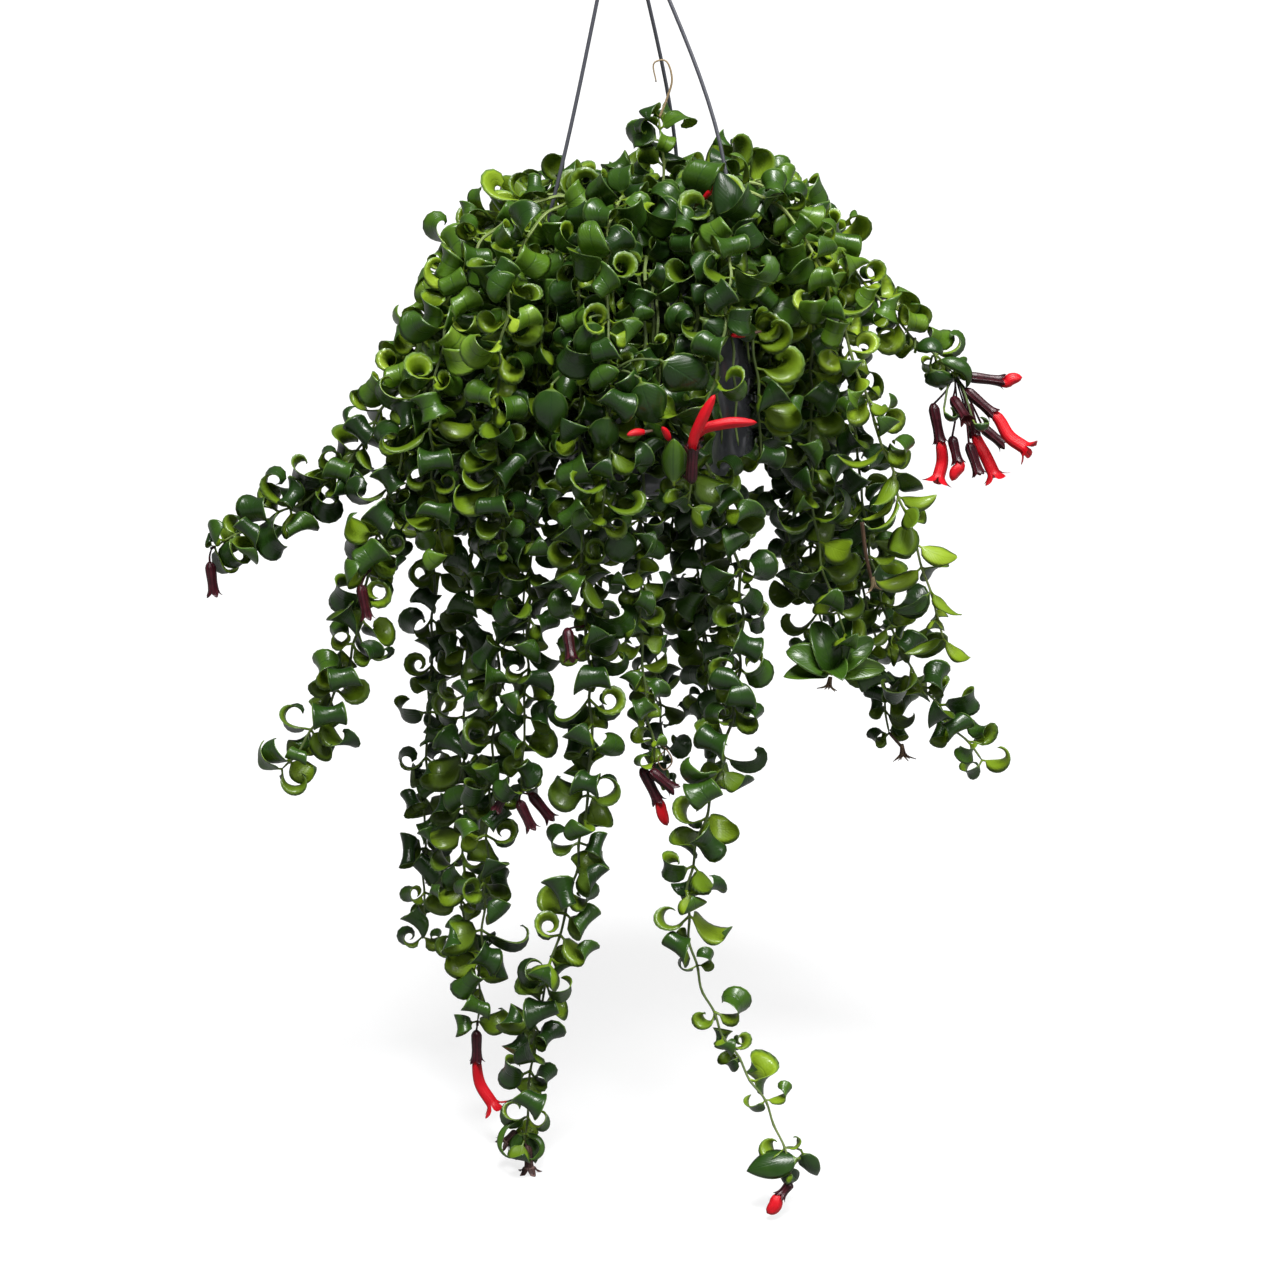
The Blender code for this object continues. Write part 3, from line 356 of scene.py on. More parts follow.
def makeFloorMaterial():
    made, tree, shader = newMaterial("studioPaper", Roughness=0.75, Specular_IOR_Level=0.1)
    spots = useGroup(tree, mottle, Scale=3.0, Grain=9.0)
    grain = multiply(tree, spots["Patches"], 0.04)
    feed(tree, shader, mixColors(tree, grain, studio["floorColor"], studio["floorGrain"]))
    seen = placeNode(tree, "ShaderNodeLightPath").outputs["Is Camera Ray"]
    shader.inputs["Emission Color"].default_value = (1, 1, 1, 1)
    tree.links.new(multiply(tree, seen, studio["floorGlow"]), shader.inputs["Emission Strength"])
    return made


leafMaterial, corollaMaterial, soilMaterial = makeLeafMaterial(), makeCorollaMaterial(), makeSoilMaterial()
stemMaterial = makeStemMaterial("stemBark", stemFinish)
driedMaterial = makeStemMaterial("driedHusk", driedFinish)
calyxMaterial = makeCalyxMaterial("calyxMaroon", calyxFinish)
driedCalyxMaterial = makeCalyxMaterial("calyxDried", driedCalyxFinish)
potMaterial = makePlasticMaterial("glossyAnthracite", potFinish, Coat_Weight=0.6, Coat_Roughness=0.08)
hangerMaterial = makePlasticMaterial("satinGrey", hangerFinish, Coat_Weight=0.0)
print("materials made")


def addFloor():
    half, low = studio["floorHalf"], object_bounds()[0][2] - studio["floorDrop"]
    mesh = bpy.data.meshes.new("studioFloor")
    corners = [(-half, -half, low), (half, -half, low), (half, half, low), (-half, half, low)]
    mesh.from_pydata(corners, [], [(0, 1, 2, 3)])
    floor = bpy.data.objects.new("studioFloor", mesh)
    bpy.context.scene.collection.objects.link(floor)
    mesh.materials.append(makeFloorMaterial())


# how far each piece, and each leaf as it is grown, stays inside the box of the solids
boxMargin, leafMargin = 0.00002, 0.0003


class Stack:
    # closed rings on rings: points, faces, the four numbers at each point, and a material index
    def __init__(self):
        self.points, self.faces, self.data, self.kinds, self.count = [], [], [], [], 0

    def addRings(self, rings, data, kind=0, clockwise=False):
        # the rings run counterclockwise round their way onward, or clockwise as told
        rows, sides = rings.shape[:2]
        spots = self.count + np.arange(rows * sides).reshape(rows, sides)
        turned = np.roll(spots, -1, axis=1)
        quads = np.stack([spots[:-1], turned[:-1], turned[1:], spots[1:]], axis=-1).reshape(-1, 4)
        faces = [*quads.tolist(), spots[0, ::-1].tolist(), spots[-1].tolist()]
        self.faces += [[face[0], *face[:0:-1]] for face in faces] if clockwise else faces
        self.kinds += [kind] * len(faces)
        self.points.append(rings.reshape(-1, 3))
        self.data.append(data.reshape(-1, 4))
        self.count += rows * sides

    def addTube(self, points, radii, sides, tone, kind=0):
        _, first, second = carriedFrames(points)
        turn = np.arange(sides) / sides * math.tau
        ways = np.cos(turn)[None, :, None] * first[:, None] + np.sin(turn)[None, :, None] * second[:, None]
        rings = np.asarray(points)[:, None] + ways * np.broadcast_to(radii, (len(points),))[:, None, None]
        self.addRings(rings, ringData(rings, turn / math.tau, tone), kind)

    def addTurned(self, profile, steps, at=(0, 0, 0)):
        # the profile ends by running down the outer side, as (radius, z)
        turn = np.arange(steps) / steps * math.tau
        rings = np.array([[(r * math.cos(t) + at[0], r * math.sin(t) + at[1], z + at[2]) for t in turn]
                          for r, z in profile])
        self.addRings(rings[::-1], ringData(rings, turn / math.tau, 0))

    def build(self, name, materials):
        mesh = bpy.data.meshes.new(name)
        low, high = np.array(cadBox[0]) + boxMargin, np.array(cadBox[1]) - boxMargin
        mesh.from_pydata(np.clip(np.vstack(self.points), low, high).tolist(), [], self.faces)
        for material in materials:
            mesh.materials.append(material)
        mesh.polygons.foreach_set("material_index", self.kinds)
        held = mesh.attributes.new("plantData", "FLOAT_COLOR", "POINT")
        held.data.foreach_set("color", np.vstack(self.data).astype(np.float32).ravel())
        mesh.shade_smooth()
        made = bpy.data.objects.new(name, mesh)
        bpy.context.scene.collection.objects.link(made)
        return made


def ringData(rings, turn, tone, inside=0.0):
    # tone, how far along, how far round, and how far inside
    rows, sides = rings.shape[:2]
    data = np.zeros((rows, sides, 4))
    data[..., 0] = np.broadcast_to(tone, (rows,))[:, None]
    data[..., 1] = np.linspace(0, 1, rows)[:, None]
    data[..., 2] = np.broadcast_to(turn, (rows, sides))
    data[..., 3] = inside
    return data


def addLine(curve, points):
    line = curve.splines.new("POLY")
    line.points.add(len(points) - 1)
    for spot, point in zip(line.points, points):
        spot.co = (*point, 1)
    return line


def meshOf(curve):
    guide = bpy.data.objects.new(curve.name, curve)
    bpy.context.scene.collection.objects.link(guide)
    mesh = bpy.data.meshes.new_from_object(guide.evaluated_get(bpy.context.evaluated_depsgraph_get()))
    bpy.data.objects.remove(guide)
    return mesh


def place(piece, slot, *nodes):
    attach(piece, "root")
    if nodes:
        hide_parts(*nodes)


def spread(points, step):
    # points about a step apart on a smooth curve through the given ones
    spots = np.array([tuple(p) for p in points])
    legs = np.diff(spots, axis=0)
    gaps = np.linalg.norm(legs, axis=1)[:, None]
    slopes = legs / gaps
    inner = (slopes[:-1] * gaps[1:] + slopes[1:] * gaps[:-1]) / (gaps[:-1] + gaps[1:])
    tangents = np.vstack([slopes[:1], inner, slopes[-1:]])
    t = np.linspace(0, 1, 13)[1:, None]  # twelve steps to a leg
    fine = [spots[:1]]
    for a, b, ta, tb, gap in zip(spots, spots[1:], tangents, tangents[1:], gaps):
        ease = (2 * t**3 - 3 * t**2 + 1) * a + (3 * t**2 - 2 * t**3) * b
        fine.append(ease + gap * ((t**3 - 2 * t**2 + t) * ta + (t**3 - t**2) * tb))
    fine = np.vstack(fine)
    run = np.concatenate([[0], np.cumsum(np.linalg.norm(np.diff(fine, axis=0), axis=1))])
    at = np.linspace(0, run[-1], max(2, round(run[-1] / step) + 1))
    return np.column_stack([np.interp(at, run, fine[:, k]) for k in range(3)])


def carriedFrames(points):
    # tangents, and two directions across them that turn as little as they can
    tangents = np.gradient(np.asarray(points), axis=0)
    tangents /= np.linalg.norm(tangents, axis=1)[:, None]
    across = np.array(Vector(tangents[0]).orthogonal().normalized())
    rows = []
    for tangent in tangents:
        across = across - tangent * across.dot(tangent)
        across /= np.linalg.norm(across)
        rows.append(across.copy())
    rows = np.array(rows)
    return tangents, rows, np.cross(tangents, rows)


def around(radius, azimuth, z):
    # azimuth is in degrees from the front towards the right
    turn = math.radians(azimuth)
    return Vector((radius * math.sin(turn), -radius * math.cos(turn), z))


leanTurn = Matrix.Rotation(-math.radians(3.5), 3, "Y")  # pot, soil and hanger hang aslant about the hook


def leant(point):
    return leanTurn @ Vector(point)


def arc(centre, radius, start, end, steps):
    turns = [math.radians(start + (end - start) * i / steps) for i in range(steps + 1)]
    return [(centre[0] + radius * math.cos(t), centre[1] + radius * math.sin(t)) for t in turns]


pot = {"rim": -0.313, "height": 0.144, "lip": 0.081, "lipDrop": 0.009, "lipRound": 0.0011, "lipUnder": 0.0012,
       "top": 0.0755, "foot": 0.0705, "wall": 0.0022, "brink": 0.0006, "footRound": 0.027, "steps": 96,
       "lugs": (-75, 45, 165), "lugHole": 0.086, "lugHoleRadius": 0.0021, "lugRoot": 0.077,
       "lugReach": 0.0915, "lugWidth": 0.012, "lugThick": 0.0032, "lugRound": 0.0004, "lugCorner": 0.003}


def lugCurve():
    outline = bpy.data.curves.new("pot_lug", "CURVE")
    outline.dimensions, outline.fill_mode = "2D", "BOTH"
    outline.extrude, outline.bevel_depth = pot["lugThick"] / 2 - pot["lugRound"], pot["lugRound"]
    half, end = pot["lugWidth"] / 2 - pot["lugRound"], pot["lugReach"] - pot["lugRound"]
    corner = pot["lugCorner"]
    tab = [(pot["lugRoot"], -half), *arc((end - corner, -half + corner), corner, -90, 0, 5),
           *arc((end - corner, half - corner), corner, 0, 90, 5), (pot["lugRoot"], half)]
    for points in (tab, arc((pot["lugHole"], 0), pot["lugHoleRadius"], 0, 345, 23)):
        addLine(outline, [(x, y, 0) for x, y in points]).use_cyclic_u = True
    return outline


def addPot():
    rim, base = pot["rim"], pot["rim"] - pot["height"]
    edge, under, brink, inner = pot["lipRound"], pot["lipUnder"], pot["brink"], pot["top"] - pot["wall"]
    middle, low = pot["foot"] - pot["footRound"], base + pot["footRound"]
    # from the middle of the floor up the inner side, over the lip and down the outer side
    profile = [(0.0004, base + pot["wall"]), *arc((middle, low), pot["footRound"] - pot["wall"], -90, 0, 12),
               (inner, rim - brink), (inner + brink, rim),
               *arc((pot["lip"] - edge, rim - edge), edge, 90, 0, 5),
               *arc((pot["lip"] - edge, rim - pot["lipDrop"] + edge), edge, 0, -90, 5),
               *arc((pot["top"] + under, rim - pot["lipDrop"] - under), under, 90, 180, 4),
               *arc((middle, low), pot["footRound"], 0, -90, 14), (0.0004, base)]
    made = Stack()
    made.addTurned(profile, pot["steps"])
    shell = made.build("pot_shell", [potMaterial])
    joined = [shell]
    for azimuth in pot["lugs"]:
        lug = bpy.data.objects.new("pot_lug", meshOf(lugCurve()))
        turn = Matrix.Rotation(math.radians(azimuth - 90), 4, "Z")
        lug.matrix_world = Matrix.Translation((0, 0, rim - pot["lugThick"])) @ turn
        bpy.context.scene.collection.objects.link(lug)
        lug.data.materials.append(potMaterial)
        joined.append(lug)
    with bpy.context.temp_override(active_object=shell, object=shell, selected_objects=joined,
                                   selected_editable_objects=joined):
        bpy.ops.object.join()
    shell.data.set_sharp_from_angle(angle=math.radians(40))
    shell.data.transform(leanTurn.to_4x4())
    place(shell, "pot", "pot")


hanger = {"hookInner": 0.014, "hookWire": 0.00229, "hookTurns": (-62, -30, 0, 30, 60, 90, 120, 150, 180, 210),
          "hookTip": (0.97, 0.86, 0.62, 0.2), "hubTop": -0.043, "hubFoot": -0.055, "hubRadius": 0.008,
          "rodWire": 0.00135, "rodRoot": 0.004, "bow": 0.035, "button": 0.0032, "buttonHeight": 0.003,
          "bends": ((-0.067, -0.018, -0.267), (0.058, -0.041, -0.233), (0.026, 0.058, -0.243))}
hanger["buttonAt"] = pot["rim"] - pot["lugThick"] * 1.5 - 0.0004 - hanger["buttonHeight"] / 2


def rodRoute(azimuth, bend):
    start = around(hanger["rodRoot"], azimuth, hanger["hubFoot"] + hanger["rodRoot"])
    bend, eye = Vector(bend), around(pot["lugHole"], azimuth, pot["rim"] + hanger["rodRoot"])
    bow = (bend - start) * hanger["bow"]
    end = around(pot["lugHole"], azimuth, hanger["buttonAt"])
    return [start, bend, bend.lerp(eye, 0.35) + bow, bend.lerp(eye, 0.7) + bow * 0.85, eye, end]


def addHanger():
    made = Stack()
    wire, ring = hanger["hookWire"], hanger["hookInner"] + hanger["hookWire"]
    turns = [math.radians(turn) for turn in hanger["hookTurns"]]
    hook = [(0, 0, hanger["hubTop"] - wire), (0, 0, hanger["hubTop"] + 2.5 * wire)]
    hook += [(ring * math.cos(t), 0, -hanger["hookInner"] + ring * math.sin(t)) for t in turns]
    route = spread(hook, 0.0015)
    radii = np.full(len(route), wire)
    radii[-4:] = wire * np.array(hanger["hookTip"])
    made.addTube(route, radii, 20, 0)
    wide, tall = hanger["button"], hanger["buttonHeight"] / 2
    button = [(0.0002, tall), (wide * 0.8, tall), (wide, tall * 0.6), (wide * 0.95, 0), (wide * 0.6, -tall),
              (0.0002, -tall)]
    for azimuth, bend in zip(pot["lugs"], hanger["bends"]):
        made.addTube(spread(rodRoute(azimuth, bend), 0.004), hanger["rodWire"], 14, 0)
        made.addTurned(button, 20, around(pot["lugHole"], azimuth, hanger["buttonAt"]))
    top, foot, wide = hanger["hubTop"], hanger["hubFoot"], hanger["hubRadius"]
    hub = [(0.0003, top), (wide * 0.5, top), (wide * 0.62, top - 0.0005), (wide * 0.92, (2 * top + foot) / 3),
           (wide, (top + foot) / 2), (wide * 0.98, (top + 2 * foot) / 3), (wide * 0.88, foot + 0.0007),
           (wide * 0.8, foot), (0.0003, foot)]
    made.addTurned(hub, 36)
    piece = made.build("hanger_rods", [hangerMaterial])
    piece.data.set_sharp_from_angle(angle=math.radians(45))
    piece.data.transform(leanTurn.to_4x4())
    place(piece, "hanger", "hanger")


soil = {"drop": 0.016, "crown": 0.003, "gap": 0.0012, "skin": 0.0009, "sunk": 0.0006, "bumps": 0.0007,
        "steps": 96, "rows": 30, "holeDepth": 0.011, "fit": 0.0004, "seed": 5, "grains": 500,
        "grainSize": (0.0006, 0.0020), "grainShape": ((0.3, -0.9), (0.9, -0.3), (1.0, 0.3), (0.35, 0.9))}


def soilTop(radius):
    return pot["rim"] - soil["drop"] + soil["crown"] * (1 - radius / pot["top"])


def rootEnd(radius):
    # how deep a stem's root goes into its hole
    return soilTop(radius) - soil["holeDepth"] + soil["fit"]


def addGrain(made, reach, rng):
    r, azimuth = reach * 0.97 * math.sqrt(rng.random()), rng.uniform(0, 360)
    size = rng.uniform(*soil["grainSize"])
    centre = around(r, azimuth, soilTop(r) + size * 0.1)
    wide, deep, tall = rng.uniform(0.6, 1.2, 3) * size
    spin = Matrix.Rotation(rng.uniform(0, 6), 3, Vector(rng.normal(size=3)).normalized())
    turn = np.arange(6) / 6 * math.tau
    rings = np.array([[spin @ Vector((w * math.cos(t) * wide, w * math.sin(t) * deep, h * tall)) + centre
                       for t in turn] for w, h in soil["grainShape"]])
    made.addRings(rings, ringData(rings, turn / math.tau, rng.random()))


def addSoil():
    rng, steps, rows = np.random.default_rng(soil["seed"]), soil["steps"], soil["rows"]
    base = pot["rim"] - pot["height"]
    reach = pot["top"] - pot["wall"] - soil["gap"] - soil["skin"]
    low, middle = base + pot["footRound"], pot["foot"] - pot["footRound"]
    turn = np.arange(steps) / steps * math.tau
    bumps = rng.uniform(-1, 1, (rows, steps)) * soil["bumps"]
    rings = [[(r * math.cos(t), r * math.sin(t), soilTop(r) - soil["sunk"] + bump)
              for t, bump in zip(turn, row)]
             for r, row in zip(np.linspace(0.004, 1, rows) * (reach - 0.0008), bumps)]
    gone = soil["gap"] + pot["wall"]
    side = [(reach, soilTop(reach) - 0.0015), (pot["foot"] - gone, low),
            *arc((middle, low), pot["footRound"] - gone, 0, -80, 8),
            (middle * 0.9, low - pot["footRound"] + gone), (0.0003, base + pot["wall"] + 0.0004)]
    rings += [[(r * math.cos(t), r * math.sin(t), z) for t in turn] for r, z in side]
    made, rings = Stack(), np.array(rings)
    made.addRings(rings[:, ::-1], ringData(rings, turn / math.tau, 0))
    for _ in range(soil["grains"]):  # crumbs, bark bits and pale grit lying on top
        addGrain(made, reach, rng)
    piece = made.build("potting_mix", [soilMaterial])
    piece.data.transform(leanTurn.to_4x4())
    place(piece, "soil", "soil")


stems = {
    # radius of the root, then radius and rise over the rim of the top of the arch and of the shoulder
    "arches": ((0.060, 0.076, 0.017, 0.094, 0.006), (0.046, 0.070, 0.034, 0.103, 0.018),
               (0.031, 0.062, 0.052, 0.111, 0.032), (0.016, 0.054, 0.070, 0.117, 0.046)),
    "wire": 0.0014, "thickness": (0.00135, 0.00055), "swell": 0.22, "zigzag": 0.0012, "neck": 0.004,
    "nodeStep": 0.0175, "firstNode": 2, "routeStep": 0.010, "rooted": 5, "chordOff": 0.0028,
    "clear": 0.0075, "potClear": 0.008, "soilReach": 0.060, "ease": 0.3,
    "potBand": (pot["rim"] - pot["height"] - 0.010, pot["rim"] + 0.006),
    "backAzimuths": (130, 140, 160, 168, 178, 188, 198, 208, 218, 228, 238, 248), "backLayers": (1, 3, 2, 0),
    "backHang": (0.17, 0.46), "backOffset": 0.012, "backSway": 6, "backSpread": 0.05, "seed": 12,
    "crownRoot": (0.012, 95, -0.324),
    "crownRoute": ((0.027, 0.014, -0.269), (0.033, 0.018, -0.236), (0.027, 0.020, -0.200)),
}
# name, azimuth of the root in degrees from the front, arch, route beyond the shoulder
shownStems = (
    ("left_far", -82, 3, (
        (-0.132, -0.04, -0.335), (-0.163, -0.05, -0.393), (-0.200, -0.06, -0.445),
        (-0.245, -0.06, -0.471), (-0.283, -0.06, -0.490))),
    ("left_low", -64, 2, (
        (-0.118, -0.075, -0.345), (-0.154, -0.09, -0.436), (-0.171, -0.10, -0.490),
        (-0.181, -0.10, -0.547), (-0.207, -0.10, -0.604), (-0.236, -0.10, -0.640))),
    ("left_short", -97, 2, (
        (-0.120, 0.0, -0.350), (-0.134, -0.02, -0.420), (-0.144, -0.04, -0.470), (-0.170, -0.055, -0.500))),
    ("left_long", -104, 1, (
        (-0.112, 0.035, -0.372), (-0.131, 0.04, -0.461), (-0.139, 0.04, -0.581),
        (-0.146, 0.04, -0.704), (-0.150, 0.04, -0.815))),
    ("left_middle", -78, 1, (
        (-0.094, -0.028, -0.360), (-0.102, -0.03, -0.427), (-0.108, -0.03, -0.536),
        (-0.113, -0.03, -0.685), (-0.116, -0.03, -0.796))),
    ("left_flowering", -56, 1, (
        (-0.073, -0.070, -0.350), (-0.079, -0.08, -0.417), (-0.083, -0.08, -0.523),
        (-0.092, -0.08, -0.669), (-0.101, -0.08, -0.805), (-0.103, -0.08, -0.836))),
    ("left_crown", -68, 3, (
        (-0.112, -0.085, -0.315), (-0.124, -0.10, -0.360), (-0.128, -0.105, -0.425),
        (-0.120, -0.10, -0.485))),
    ("front_left", -38, 1, (
        (-0.053, -0.098, -0.350), (-0.057, -0.105, -0.411), (-0.062, -0.10, -0.518),
        (-0.069, -0.10, -0.655))),
    ("front_left_short", -44, 3, (
        (-0.072, -0.118, -0.300), (-0.080, -0.128, -0.350), (-0.082, -0.130, -0.420),
        (-0.078, -0.128, -0.475))),
    ("front_long", -22, 2, (
        (-0.026, -0.125, -0.340), (-0.026, -0.130, -0.407), (-0.025, -0.13, -0.497),
        (-0.019, -0.13, -0.610), (-0.035, -0.13, -0.726), (-0.056, -0.13, -0.800), (-0.068, -0.13, -0.906))),
    ("front_short", -12, 3, (
        (-0.008, -0.142, -0.300), (-0.006, -0.152, -0.345), (-0.006, -0.154, -0.400),
        (-0.012, -0.150, -0.455))),
    ("front_thin", 0, 1, (
        (0.016, -0.116, -0.360), (0.017, -0.12, -0.420), (0.014, -0.12, -0.485),
        (0.017, -0.12, -0.577), (0.024, -0.12, -0.629))),
    ("front_right_long", 19, 2, (
        (0.050, -0.120, -0.335), (0.049, -0.128, -0.396), (0.067, -0.126, -0.440),
        (0.082, -0.122, -0.492), (0.079, -0.13, -0.582), (0.063, -0.14, -0.650),
        (0.046, -0.15, -0.705), (0.050, -0.16, -0.759), (0.071, -0.17, -0.811),
        (0.109, -0.19, -0.868), (0.117, -0.20, -0.900))),
    ("front_right_short", 30, 3, (
        (0.072, -0.138, -0.300), (0.066, -0.152, -0.345), (0.052, -0.156, -0.395), (0.046, -0.152, -0.440))),
    ("right_rosette", 74, 2, (
        (0.133, -0.042, -0.363), (0.133, -0.045, -0.442), (0.143, -0.05, -0.512), (0.159, -0.05, -0.556))),
    ("right_pale", 62, 3, (
        (0.143, -0.072, -0.310), (0.165, -0.08, -0.370), (0.184, -0.085, -0.424),
        (0.204, -0.085, -0.481), (0.225, -0.085, -0.550))),
    ("right_flowering", 83, 3, (
        (0.150, -0.022, -0.285), (0.177, -0.03, -0.318), (0.213, -0.03, -0.356), (0.232, -0.03, -0.372))),
    ("right_far", 99, 3, (
        (0.152, 0.012, -0.340), (0.166, 0.008, -0.412), (0.178, 0.004, -0.499),
        (0.198, 0.0, -0.573), (0.229, 0.0, -0.622), (0.264, 0.0, -0.664))),
    ("right_middle", 92, 1, (
        (0.135, 0.015, -0.368), (0.152, 0.030, -0.449), (0.172, 0.04, -0.523),
        (0.189, 0.04, -0.591), (0.199, 0.04, -0.655))),
    ("right_back", 118, 2, ((0.122, 0.066, -0.380), (0.128, 0.074, -0.470), (0.132, 0.076, -0.560))),
    ("back_right_low", 150, 1, (
        (0.064, 0.114, -0.380), (0.060, 0.12, -0.472), (0.061, 0.12, -0.558),
        (0.069, 0.12, -0.652), (0.079, 0.12, -0.698))),
)


def archPoints(azimuth, layer):
    root, apex, apexRise, shoulder, shoulderRise = stems["arches"][layer]
    spots = ((root, rootEnd(root)), (root, rootEnd(root) + soil["holeDepth"] + stems["neck"]),
             (apex, pot["rim"] + apexRise), (shoulder, pot["rim"] + shoulderRise))
    return [leant(around(radius, azimuth, z)) for radius, z in spots]


def backPoints(azimuth, layer, rng):
    hang = rng.uniform(*stems["backHang"])
    radius = stems["arches"][layer][3] + stems["backOffset"] * (1 + layer)
    sway, wide = rng.uniform(-stems["backSway"], stems["backSway"]), rng.uniform(0.0, stems["backSpread"])
    return [leant(around(radius + wide * s * s, azimuth + sway * s, pot["rim"] - hang * s))
            for s in (0.12, 0.40, 0.70, 1.0)]


def planStems():
    plans = [(name, archPoints(azimuth, layer) + [Vector(p) for p in beyond])
             for name, azimuth, layer, beyond in shownStems]
    rng, layers = random.Random(stems["seed"]), itertools.cycle(stems["backLayers"])
    for i, (azimuth, layer) in enumerate(zip(stems["backAzimuths"], layers), 1):
        plans.append((f"back_{i:02d}", archPoints(azimuth, layer) + backPoints(azimuth, layer, rng)))
    radius, azimuth, height = stems["crownRoot"]
    rise = [leant(around(radius, azimuth, z)) for z in (rootEnd(radius), height)]
    plans.append(("crown", rise + [Vector(p) for p in stems["crownRoute"]]))
    return plans


def clearOfPot(route):
    low, high = stems["potBand"]
    for i in range(stems["rooted"], len(route)):
        x, y, z = leanTurn.inverted() @ Vector(route[i])
        reach = math.hypot(x, y)
        if low < z < high and reach > stems["soilReach"]:
            least = (pot["lip"] if z > pot["rim"] - 2 * pot["lipDrop"] else pot["top"]) + stems["potClear"]
            grow = max(1.0, least / reach)
            route[i] = leant((x * grow, y * grow, z))


def keepApart(routes, fixed, rounds):
    rooted, clear = stems["rooted"], stems["clear"]
    for _ in range(rounds):
        for i, route in enumerate(routes):
            others = [(other, True) for other in routes[i + 1:]] + [(other, False) for other in fixed]
            for other, gives in others:
                apart = route[rooted:, None] - other[None, rooted:]
                near = np.linalg.norm(apart, axis=2)
                for a, b in np.argwhere(near < clear):
                    push = apart[a, b] / max(near[a, b], 1e-6) * (clear - near[a, b]) * 0.5
                    route[rooted + a] += push
                    if gives:
                        other[rooted + b] -= push
        for route in routes:
            mean = (route[rooted - 1:-2] + route[rooted + 1:]) / 2
            route[rooted:-1] += stems["ease"] * (mean - route[rooted:-1])
            clearOfPot(route)


# Shorter stems inside the dome, which close it between the long ones, and a row of them in front
fillerStems = {
    "seed": 31, "root": (0.006, 0.050), "apexOut": (0.022, 0.040), "shoulderOut": (0.020, 0.036),
    "shoulderDrop": 0.020, "tipOut": 0.012,
    "inner": {"count": 36, "everyTurn": 137.5, "jitter": 8, "rise": (0.006, 0.052), "least": 0.0,
              "hang": (0.02, 0.13), "swing": 40},
    "front": {"azimuths": (-66, -53, -41, -31, -17, -6, 7, 16, 26, 37), "rise": (0.000, 0.030),
              "least": 0.096, "hang": (0.06, 0.13), "swing": 8},
}


def fillerPoints(azimuth, group, rng):
    root, lift = rng.uniform(*fillerStems["root"]), pot["rim"] + rng.uniform(*group["rise"])
    apex = root + rng.uniform(*fillerStems["apexOut"])
    shoulder = max(apex + rng.uniform(*fillerStems["shoulderOut"]), group["least"])
    hang, swing = rng.uniform(*group["hang"]), rng.uniform(-group["swing"], group["swing"])
    low = lift - fillerStems["shoulderDrop"]
    neck = rootEnd(root) + soil["holeDepth"] + stems["neck"]
    spots = [(root, azimuth, rootEnd(root)), (root, azimuth, neck),
             (apex, azimuth + swing * 0.3, lift), (shoulder, azimuth + swing * 0.7, low),
             (shoulder + fillerStems["tipOut"], azimuth + swing, low - hang)]
    return [leant(around(*spot)) for spot in spots]


def planFillers():
    rng, inner, front = random.Random(fillerStems["seed"]), fillerStems["inner"], fillerStems["front"]
    jitter = inner["jitter"]
    routes = [fillerPoints(i * inner["everyTurn"] + rng.uniform(-jitter, jitter), inner, rng)
              for i in range(inner["count"])]
    routes += [fillerPoints(azimuth, front, rng) for azimuth in front["azimuths"]]
    return [(f"filler_{i:02d}", route) for i, route in enumerate(routes, 1)]


def settleStems():
    # name, nodes, and whether the plain solids have the stem
    plans, fillers = planStems(), planFillers()
    routes = [spread(points, stems["routeStep"]) for _, points in plans]
    extra = [spread(points, stems["routeStep"]) for _, points in fillers]
    rods = [spread([leant(p) for p in rodRoute(azimuth, bend)], stems["routeStep"])
            for azimuth, bend in zip(pot["lugs"], hanger["bends"])]
    keepApart(routes, rods, 14)
    keepApart(extra, routes + rods, 4)
    settled = [(name, spread(route, stems["nodeStep"]), True) for (name, _), route in zip(plans, routes)]
    settled += [(name, spread(route, stems["nodeStep"]), False) for (name, _), route in zip(fillers, extra)]
    return settled


def chordNodes(nodes, first, last):
    leg = nodes[last] - nodes[first]
    leg = leg / np.linalg.norm(leg)
    off = nodes[first:last + 1] - nodes[first]
    off = np.linalg.norm(off - np.outer(off @ leg, leg), axis=1)
    worst = int(np.argmax(off))
    if off[worst] < stems["chordOff"]:
        return [first, last]
    return chordNodes(nodes, first, first + worst)[:-1] + chordNodes(nodes, first + worst, last)


def flatsOf(nodes):
    # the four flats of the stem's plain solid, which its leaves stand square to
    kept = [0] + chordNodes(nodes, 1, len(nodes) - 1)
    curve = bpy.data.curves.new("stem_guide", "CURVE")
    curve.dimensions, curve.bevel_depth, curve.bevel_resolution = "3D", stems["wire"], 0
    curve.use_fill_caps = True
    addLine(curve, nodes[kept])
    mesh = meshOf(curve)
    tree = BVHTree.FromPolygons([v.co for v in mesh.vertices], [tuple(p.vertices) for p in mesh.polygons])
    return kept, tree


def onChord(nodes, kept, node):
    after = next(i for i in kept[1:] if i >= node)
    before = kept[kept.index(after) - 1]
    start, leg = Vector(nodes[before]), Vector(nodes[after] - nodes[before])
    tangent = leg.normalized()
    return start + tangent * (Vector(nodes[node]) - start).dot(tangent), tangent


